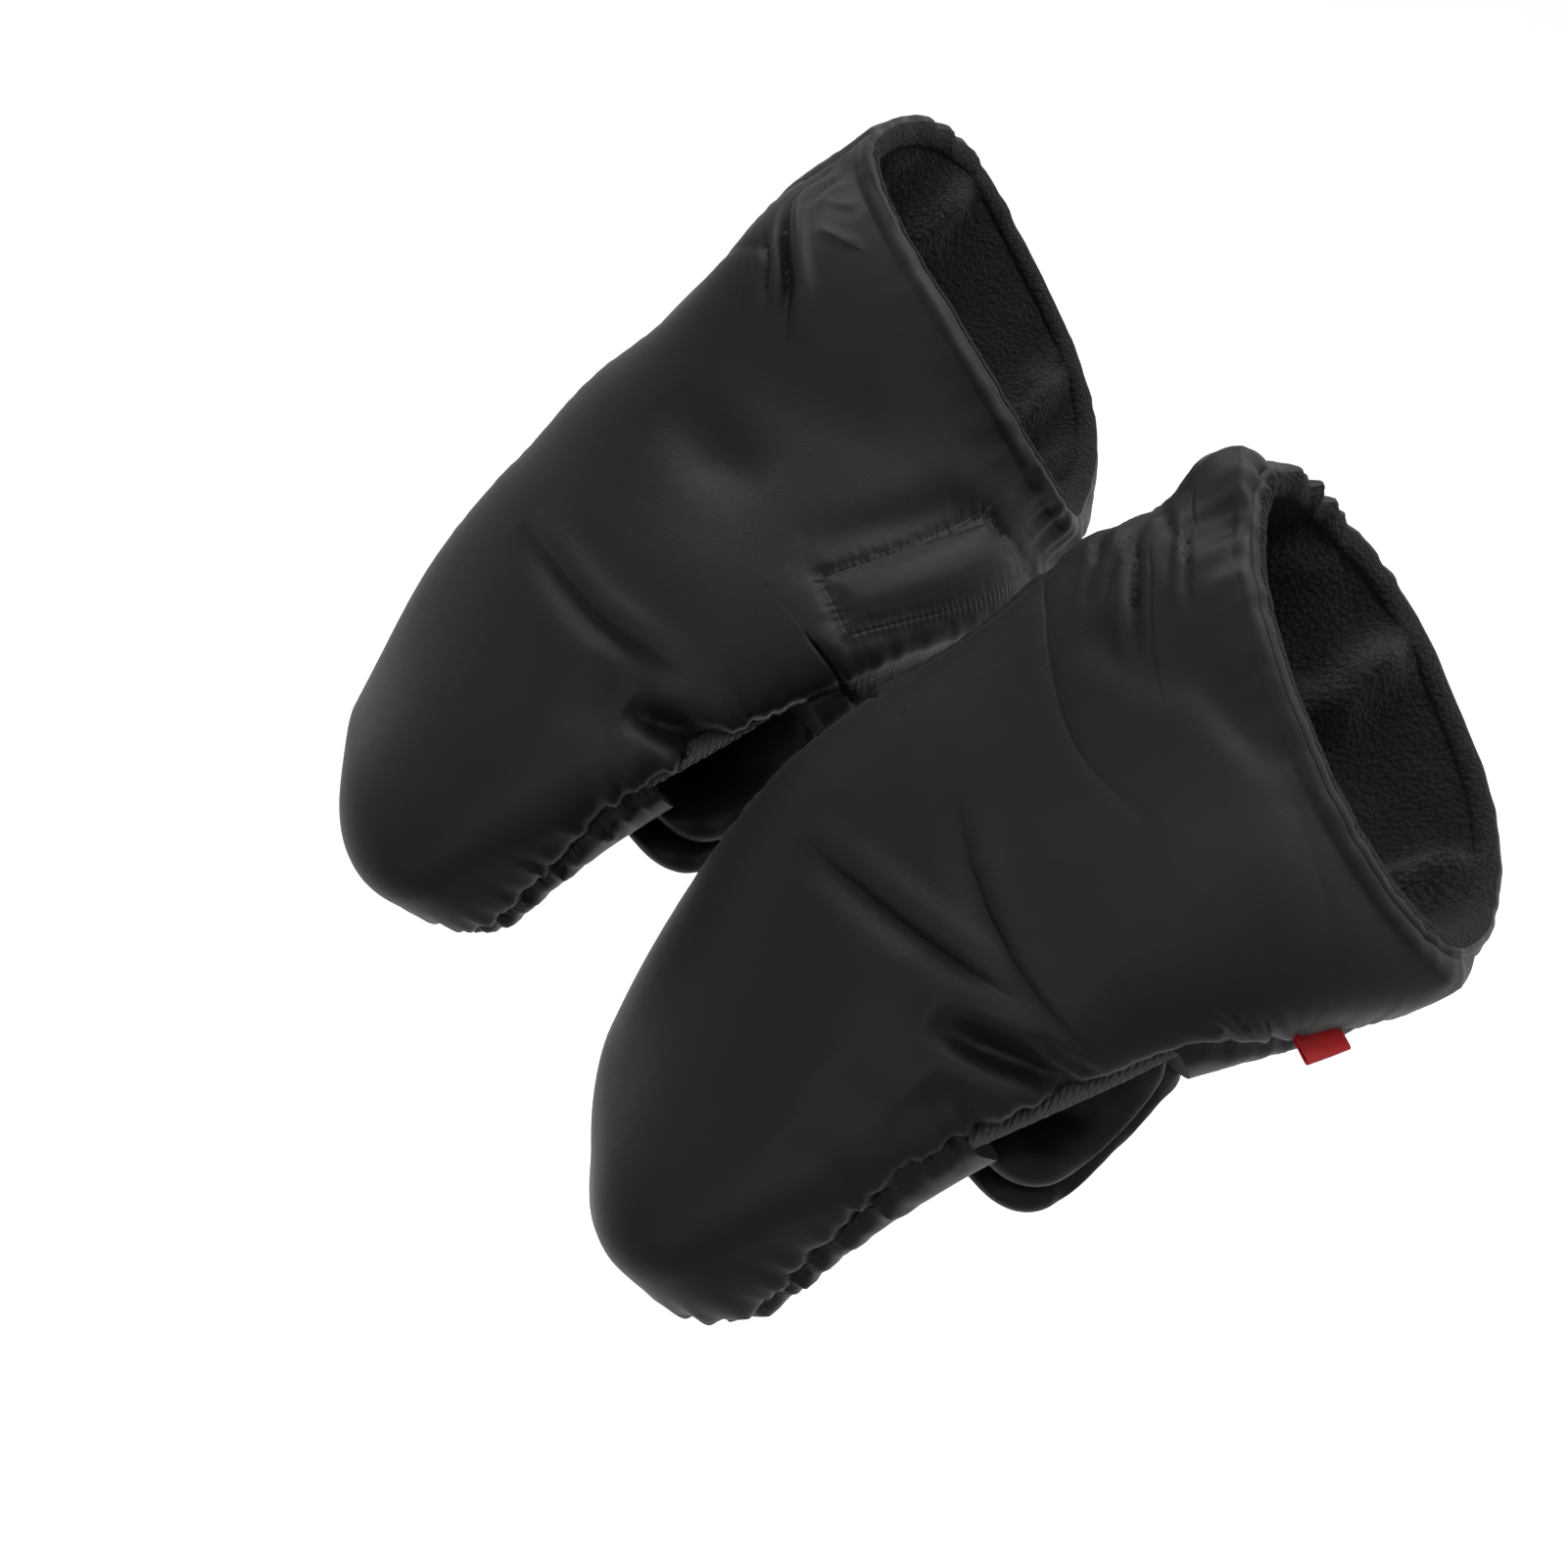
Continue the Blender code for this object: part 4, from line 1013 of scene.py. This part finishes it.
def make_strip(wall, name, t_range, angle_range, level, body, on_cloth=False):
    """Thin hook or loop tape at a level above the wall, or above the cloth as it swells."""
    t = np.linspace(*t_range, STRIP_ROWS)[:, None]
    angles = np.linspace(*angle_range, STRIP_COLUMNS)[None, :]
    outer = wall.place(t, angles, -level - STRIP_THICKNESS)
    inner = wall.place(t, angles, -level)
    if on_cloth:
        plain = wall.place(t, angles)
        normals = outward_normals(plain, wall.centre(t[:, 0])[:, None, :])
        move = normals * swell_of(wall, plain)[..., None]
        move = move + rim_shift(wall, t, np.broadcast_to(angles, plain.shape[:2]))
        outer, inner = outer + move, inner + move
    piece = closed_between(f"{name}_{wall.side}_tape", wall.world(outer), wall.world(inner))
    finish_piece(piece, "hook_and_loop", body, [f"{name}_{wall.side}"])


# ---------------------------------------------------------------- materials
class Nodes:
    """Short hand for building a material's node tree."""

    def __init__(self, name):
        self.material = bpy.data.materials.new(name)
        self.material.use_nodes = True
        self.tree = self.material.node_tree
        self.shader = self.tree.nodes["Principled BSDF"]
        self.place = self.new("ShaderNodeTexCoord").outputs["Object"]

    def new(self, kind, inputs=(), **settings):
        """Node of a kind, with values or sockets for its inputs and its own settings."""
        node = self.tree.nodes.new(kind)
        for key, value in settings.items():
            setattr(node, key, value)
        for key, value in dict(inputs).items():
            if isinstance(value, bpy.types.NodeSocket):
                self.link(value, node.inputs[key])
            else:
                node.inputs[key].default_value = value
        return node

    def link(self, a, b):
        self.tree.links.new(a, b)

    def texture(self, kind, inputs, stretch=None, turn=None, **settings):
        """Texture node on the object's own places, stretched and turned if asked."""
        place = self.place
        if stretch:
            place = self.new("ShaderNodeMapping", {"Vector": place, "Scale": stretch,
                                                   "Rotation": turn}).outputs["Vector"]
        return self.new(kind, {**inputs, "Vector": place}, **settings).outputs

    def noise(self, scale, detail=3.0, stretch=None):
        inputs = {"Scale": scale, "Detail": detail, "Roughness": 0.5}
        return self.texture("ShaderNodeTexNoise", inputs, stretch, (0.3, 0.4, 0.6))["Fac"]

    def wave(self, scale, axis, distortion=0.0):
        inputs = {"Scale": scale, "Distortion": distortion, "Detail": 1.0}
        return self.texture("ShaderNodeTexWave", inputs, bands_direction=axis)["Fac"]

    def cells(self, scale, stretch=None):
        inputs = {"Scale": scale}
        return self.texture("ShaderNodeTexVoronoi", inputs, stretch, (0.5, 0.2, 0.9))["Distance"]

    def math(self, operation, *values):
        node = self.new("ShaderNodeMath", enumerate(values), operation=operation)
        return node.outputs[0]

    def ramp(self, source, stops):
        """Color between two stops, each a place on the ramp and its color."""
        node = self.new("ShaderNodeValToRGB", {"Fac": source})
        for point, (place, color) in zip(node.color_ramp.elements, stops):
            point.position = place
            point.color = (*color, 1)
        return node.outputs["Color"]

    def spread(self, source, low, high):
        inputs = {"Value": source, "To Min": low, "To Max": high}
        return self.new("ShaderNodeMapRange", inputs).outputs["Result"]

    def mix(self, share, a, b):
        node = self.new("ShaderNodeMix", data_type="RGBA")
        for key, value in (("Factor", share), ("A", a), ("B", b)):
            socket = next(s for s in node.inputs if s.name == key and s.enabled)
            if isinstance(value, tuple):
                socket.default_value = (*value, 1)
            else:
                self.link(value, socket)
        return next(s for s in node.outputs if s.enabled)

    def bump(self, height, strength, distance, below=None):
        inputs = {"Height": height, "Strength": strength, "Distance": distance}
        if below is not None:
            inputs["Normal"] = below
        return self.new("ShaderNodeBump", inputs).outputs["Normal"]

    def near(self, name, reach):
        """1 on a line, falling off with the distance in mm that the mesh keeps by that name."""
        gap = self.math("DIVIDE", self.attribute(name), reach)
        squared = self.math("MULTIPLY", gap, gap)
        return self.math("POWER", 2.0, self.math("MULTIPLY", squared, -1.44))

    def attribute(self, name):
        return self.new("ShaderNodeAttribute", attribute_name=name).outputs["Fac"]

    def finish(self, color, normal, rough, **plain):
        """Links what varies over the surface and sets what is the same all over."""
        for key, source in (("Base Color", color), ("Normal", normal), ("Roughness", rough)):
            self.link(source, self.shader.inputs[key])
        for key, value in plain.items():
            self.shader.inputs[key.replace("_", " ")].default_value = value
        return self.material


def nylon_material():
    n = Nodes("black_nylon")
    color = n.ramp(n.noise(18.0, 4.0), ((0.30, (0.0090, 0.0090, 0.0098)),
                                        (0.70, (0.0135, 0.0135, 0.0147))))
    worn = n.math("MULTIPLY", n.attribute("worn"), n.spread(n.noise(70.0), 0.0, 0.8))
    color = n.mix(worn, color, (0.022, 0.022, 0.024))
    # painted shade: fine crease lines and the band seam are drawn darker in colour, besides being
    # sunk by bump
    crease_bump_and_shade = n.math("MULTIPLY", n.near("line_gap", 0.6), n.attribute("line_strength"))
    color = n.mix(n.math("MULTIPLY", crease_bump_and_shade, 0.7), color, (0.004, 0.004, 0.0045))
    run = n.math("ADD", n.attribute("sewn_run"), n.spread(n.noise(160.0, 2.0), -1.2, 1.2))
    pucker = n.math("SINE", n.math("MULTIPLY", run, 2.7))
    pucker = n.math("MULTIPLY", pucker, n.near("sewn_gap", 1.9))
    pucker = n.math("SUBTRACT", n.math("MULTIPLY", pucker, 0.5), n.near("sewn_gap", 0.45))
    pucker = n.math("MULTIPLY", pucker, n.attribute("sewn_strength"))
    weave = n.math("ADD", n.wave(620.0, "X"), n.wave(620.0, "Y"))
    weave = n.math("ADD", weave, n.wave(620.0, "Z"))
    normal = n.bump(n.math("MULTIPLY", crease_bump_and_shade, -1.0), 0.6, 0.0004)
    normal = n.bump(pucker, 0.6, 0.0006, normal)
    normal = n.bump(weave, 0.10, 0.0001, normal)
    normal = n.bump(n.noise(170.0, 3.0, (1.0, 0.45, 0.8)), 0.10, 0.0010, normal)
    normal = n.bump(n.noise(46.0, 2.0, (0.5, 1.0, 0.7)), 0.16, 0.0030, normal)
    return n.finish(color, normal, n.spread(n.noise(35.0), 0.42, 0.54),
                    Sheen_Weight=0.02, Sheen_Roughness=0.4, Specular_IOR_Level=0.10)


def fleece_material():
    n = Nodes("black_fleece")
    pile = n.cells(900.0, (1.0, 0.62, 0.85))
    tuft = n.noise(500.0, 4.0)
    color = n.ramp(pile, ((0.15, (0.0340, 0.0340, 0.0352)), (0.75, (0.0125, 0.0125, 0.0132))))
    color = n.mix(n.spread(n.noise(26.0), 0.0, 0.5), color, (0.022, 0.022, 0.0235))
    # painted shade: the fleece's colour is drawn near black where the lining's folds are low, as
    # shade in the valleys between them
    painted_fold_shade = n.spread(n.attribute("raised"), 0.72, 0.0)
    color = n.mix(painted_fold_shade, color, (0.0035, 0.0035, 0.004))
    normal = n.bump(tuft, 0.5, 0.0006, n.bump(pile, 0.75, 0.0008))
    return n.finish(color, normal, n.spread(tuft, 0.88, 1.0),
                    Sheen_Weight=0.05, Sheen_Roughness=0.5, Specular_IOR_Level=0.05)


def binding_material():
    n = Nodes("black_binding")
    rib = n.wave(330.0, "DIAGONAL", 1.5)
    color = n.ramp(rib, ((0.2, (0.012, 0.012, 0.013)), (0.8, (0.026, 0.026, 0.028))))
    return n.finish(color, n.bump(rib, 0.5, 0.0005), n.spread(n.noise(90.0), 0.52, 0.68),
                    Sheen_Weight=0.15)


def tape_material():
    n = Nodes("hook_and_loop_tape")
    loops = n.cells(1100.0)
    color = n.ramp(loops, ((0.1, (0.022, 0.022, 0.023)), (0.7, (0.007, 0.007, 0.008))))
    return n.finish(color, n.bump(loops, 0.9, 0.0008), n.spread(n.noise(120.0), 0.80, 0.95))


def label_material():
    n = Nodes("red_woven_tab")
    weave = n.math("MULTIPLY", n.wave(900.0, "X"), n.wave(900.0, "Z"))
    shade = n.mix(n.spread(n.noise(300.0), 0.0, 0.6), (0.62, 0.010, 0.012), (0.78, 0.020, 0.024))
    color = n.mix(n.math("MULTIPLY", weave, 0.35), shade, (0.40, 0.006, 0.008))
    return n.finish(color, n.bump(weave, 0.35, 0.0003), n.spread(n.noise(200.0), 0.50, 0.62))


MATERIALS = {
    "shell_nylon": nylon_material(),
    "fleece": fleece_material(),
    "binding": binding_material(),
    "hook_and_loop": tape_material(),
    "label_red": label_material(),
}


# ---------------------------------------------------------------- flaps and label
def bar_angle(wall, points):
    """Radius and angle of points about the bar, as round_bar counts them."""
    flat = points * np.array((0.0, 1.0, 1.0))
    return (np.linalg.norm(flat, axis=-1),
            np.arctan2(flat @ wall.grip_along, -(flat @ wall.grip_up)))


def joint_of(name):
    found = [j for j in frame["record"]["behaviour"]["joints"] if j["name"] == name]
    return np.array(found[0]["pos_m"]), np.array(found[0]["axis"])


def even_rows(middle, count):
    """Rows of a surface resampled along its length, closer together at both ends."""
    lengths = np.linalg.norm(np.diff(middle, axis=0), axis=2).mean(axis=1)
    place = np.concatenate([[0], np.cumsum(lengths)])
    wanted = place[-1] * (1 - np.cos(np.linspace(0, math.pi, count))) / 2
    flat = middle.reshape(len(middle), -1)
    rows = [np.interp(wanted, place, flat[:, k]) for k in range(flat.shape[1])]
    return np.array(rows).T.reshape(count, *middle.shape[1:]), wanted


def round_corners(middle, place):
    """Draws the ends of a pad's middle surface in, so that its corners are round."""
    ends = np.minimum(place, place[-1] - place)
    near_end = np.clip(1 - ends / PAD_CORNER, 0, 1)
    drawn = PAD_CORNER * (1 - np.sqrt(1 - near_end ** 2))
    share = (1 - drawn / FLAP_HALF_WIDTH)[:, None, None]
    centre = middle.mean(axis=1, keepdims=True)
    return centre + (middle - centre) * share, ends[:, None], share[..., 0]


def pad_profile(gap):
    """Rounded share of a pad's thickness at a gap from its edge."""
    return np.sqrt(1 - np.clip(1 - gap / PAD_EDGE, 0, 1) ** 2.4)


def make_pad(wall, name, middle, rows, inside, filling, uneven, ruffle=0.0):
    """Soft pad round a middle surface: uneven, ruffled at its sides and swollen as cloth."""
    middle, place = even_rows(middle, rows)
    middle, ends, share = round_corners(middle, place)
    normals = outward_normals(middle, np.array(inside))
    sides = share * (FLAP_HALF_WIDTH - np.abs(PAD_ACROSS))[None, :]
    edge = pad_profile(ends) * pad_profile(sides)
    relief = drift(middle, *uneven)
    ripple = waves(place[:, None], RUFFLE_STEP, 1.4)
    relief = relief + ruffle * bell(sides, RUFFLE_REACH) * ripple
    half = np.maximum(PAD_THICKNESS / 2 * edge * filling + relief * edge, 0)
    piece = pillow(f"{name}_{wall.side}_cloth", wall.world(middle), wall.world(normals), half)
    swell_pad(piece)
    finish_piece(piece, "shell_nylon", f"grip_flap_{wall.side}_body", [f"{name}_{wall.side}"])


def make_grip_flap(wall):
    """Two soft pads under the bar; the outer one runs back to its tail on the palm."""
    mid_radius = GRIP_RADIUS + PAD_THICKNESS + LAYER_GAP + PAD_THICKNESS / 2
    pivot, _ = joint_of(f"grip_flap_hinge_{wall.side}")
    _, front = bar_angle(wall, pivot)
    t_range = (wall.plane_place(-TAIL_START), wall.plane_place(-TAIL_START - TAIL_LENGTH))
    tail_angles = TAIL_OUTER_EDGE + (TAIL_INNER_EDGE - TAIL_OUTER_EDGE) * (
        1 - PAD_ACROSS / FLAP_HALF_WIDTH) / 2
    tail = wall.place(np.linspace(*t_range, TAIL_ROWS)[:, None], tail_angles[None, :],
                      -(FLAP_LEVEL + PAD_THICKNESS / 2), -LAYER_GAP / 2)
    distance, angle = bar_angle(wall, tail[0])
    leave = (angle + np.arccos(np.clip(mid_radius / distance, -1, 1))).min()
    turns = np.linspace(front, leave, ARC_ROWS)
    arc = wall.round_bar(turns[:, None], mid_radius, GRIP_OUTWARD + PAD_ACROSS[None, :])
    shares = np.linspace(0, 1, RUN_ROWS)[1:-1, None, None]
    run = arc[-1] + (tail[0] - arc[-1]) * shares
    make_pad(wall, "grip_flap", np.concatenate([arc, run, tail]), FLAP_ROWS,
             (GRIP_OUTWARD, 0.0, 0.010), FLAP_FILLING, FLAP_UNEVEN[wall.side], FLAP_RUFFLE)

    lowest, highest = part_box(f"grip_pad_{wall.side}")
    reach = math.asin(min(1.0, max(abs(lowest.y), abs(highest.y)) / (GRIP_RADIUS + PAD_THICKNESS)))
    turns = np.linspace(reach, -reach, PAD_ARC_ROWS)
    arc = wall.round_bar(turns[:, None], GRIP_RADIUS + PAD_THICKNESS / 2,
                         GRIP_OUTWARD + PAD_ACROSS[None, :])
    make_pad(wall, "grip_pad", arc, PAD_ROWS, (GRIP_OUTWARD, 0.0, 0.0), PAD_FILLING, PAD_UNEVEN)

    quarter = (TAIL_INNER_EDGE - TAIL_OUTER_EDGE) / 4
    strip_angles = (TAIL_OUTER_EDGE + quarter, TAIL_INNER_EDGE - quarter)
    make_strip(wall, "grip_loop_strip", t_range, strip_angles, LAYER_GAP, "muffs", True)
    make_strip(wall, "grip_hook_strip", t_range, strip_angles,
               2 * LAYER_GAP + STRIP_THICKNESS, f"grip_flap_{wall.side}_body")


def make_label(wall):
    """Plain folded tab sewn into the outer seam."""
    t = LABEL_FROM_RIM / wall.length
    base = wall.place(t, LABEL_ANGLE)
    way = unit(wall.place(t + LABEL_LENGTH / wall.length, LABEL_ANGLE) - base)
    across, up, _, _ = wall.frame(np.array(t))
    out = across * math.cos(LABEL_ANGLE) + up * math.sin(LABEL_ANGLE)
    out = unit(out - way * (out @ way))
    side = np.cross(way, out)
    round_end = LABEL_THICKNESS / 2
    # Section of the folded tab: distance out of the seam, and place across its thickness
    profile = [(-0.0010, -0.0006), (0.003, -0.0007)]
    for turn in np.linspace(-math.pi / 2, math.pi / 2, 13):
        profile.append((LABEL_DROP - round_end + round_end * math.cos(turn),
                        round_end * math.sin(turn)))
    profile += [(0.003, 0.0007), (-0.0010, 0.0006)]
    grid = []
    for step in np.linspace(0, LABEL_LENGTH, 15):
        bow = LABEL_BOW * math.sin(math.pi * step / LABEL_LENGTH)
        grid.append([base + way * step + out * (d + LAYER_GAP) + side * (s + bow * d / LABEL_DROP)
                     for d, s in profile])
    grid = np.array(grid)
    middle = grid.mean(axis=1, keepdims=True)
    core = middle + (grid - middle) * 0.55
    piece = closed_between("label_tab_left_cloth", wall.world(grid), wall.world(core), None, True)
    finish_piece(piece, "label_red", "muffs", ["label_tab_left"])


for muff_side in SIDES:
    muff = Wall(muff_side)
    make_skin(muff)
    make_hem(muff)
    make_lining(muff)
    make_bindings(muff)
    make_grip_flap(muff)
    if muff_side == "left":
        make_label(muff)

# ---------------------------------------------------------------- camera, light and floor
EYE = Vector((-0.298, 0.224, 0.417))
LOOK = Vector((0.539, -0.405, -0.739)).normalized()
LENS, SENSOR_WIDTH, CLIP_START = 46.03, 36.0, 0.01
# Square softboxes aimed at the origin: place, power
SOFTBOXES = {
    "key_softbox": ((0.634, -0.477, 1.03), 9.0),
    "back_softbox": ((-0.131, -1.034, 0.777), 11.0),
    "side_softbox": ((-0.305, 0.916, 0.87), 3.4),
    "top_softbox": ((-0.31, 0.233, 1.241), 2.2),
}
SOFTBOX_SIZE = 0.7
WORLD_LIGHT = 0.10
FLOOR_DROP, FLOOR_REACH = 1.0, 6.0
FLOOR_COLOR, FLOOR_ROUGHNESS, FLOOR_GLOW = (0.92, 0.92, 0.92, 1), 0.9, 0.84


def seen_directly(tree):
    """1 for rays from the camera, mirrored or let through, 0 for those that only light."""
    path = tree.nodes.new("ShaderNodeLightPath")
    so_far = path.outputs["Is Camera Ray"]
    for kind in ("Is Glossy Ray", "Is Transmission Ray"):
        either = tree.nodes.new("ShaderNodeMath")
        either.operation = "MAXIMUM"
        tree.links.new(so_far, either.inputs[0])
        tree.links.new(path.outputs[kind], either.inputs[1])
        so_far = either.outputs[0]
    return so_far


camera = add_object("camera", bpy.data.cameras.new("camera"))
right = LOOK.cross(Vector((0, 0, 1))).normalized()
camera.matrix_world = Matrix.Translation(EYE) @ Matrix(
    (right, right.cross(LOOK), -LOOK)).transposed().to_4x4()
camera.data.sensor_width = SENSOR_WIDTH
camera.data.lens = LENS
camera.data.clip_start = CLIP_START
bpy.context.scene.camera = camera

for box_name, (spot, power) in SOFTBOXES.items():
    light = bpy.data.lights.new(box_name, "AREA")
    light.shape = "RECTANGLE"
    light.size = light.size_y = SOFTBOX_SIZE
    light.energy = power
    softbox = add_object(box_name, light)
    softbox.location = spot
    softbox.rotation_euler = (-Vector(spot)).to_track_quat("-Z", "Y").to_euler()

world = bpy.data.worlds.new("white_studio")
bpy.context.scene.world = world
world.use_nodes = True
background = world.node_tree.nodes["Background"]
background.inputs["Color"].default_value = (1, 1, 1, 1)
strength = world.node_tree.nodes.new("ShaderNodeMapRange")
strength.inputs["To Min"].default_value = WORLD_LIGHT
strength.inputs["To Max"].default_value = 1.0
world.node_tree.links.new(seen_directly(world.node_tree), strength.inputs["Value"])
world.node_tree.links.new(strength.outputs["Result"], background.inputs["Strength"])

floor_mesh = bpy.data.meshes.new("floor")
floor_mesh.from_pydata([(x * FLOOR_REACH, y * FLOOR_REACH, 0)
                        for x, y in ((-1, -1), (1, -1), (1, 1), (-1, 1))], [], [(0, 1, 2, 3)])
floor = add_object("floor", floor_mesh)
floor.location = (0, 0, -FLOOR_DROP)
paint = bpy.data.materials.new("white_floor")
paint.use_nodes = True
shader = paint.node_tree.nodes["Principled BSDF"]
shader.inputs["Base Color"].default_value = FLOOR_COLOR
shader.inputs["Roughness"].default_value = FLOOR_ROUGHNESS
shader.inputs["Emission Color"].default_value = (1, 1, 1, 1)
glow = paint.node_tree.nodes.new("ShaderNodeMath")
glow.operation = "MULTIPLY"
glow.inputs[1].default_value = FLOOR_GLOW
paint.node_tree.links.new(seen_directly(paint.node_tree), glow.inputs[0])
paint.node_tree.links.new(glow.outputs[0], shader.inputs["Emission Strength"])
floor.data.materials.append(paint)

bpy.context.scene.view_settings.view_transform = "Standard"
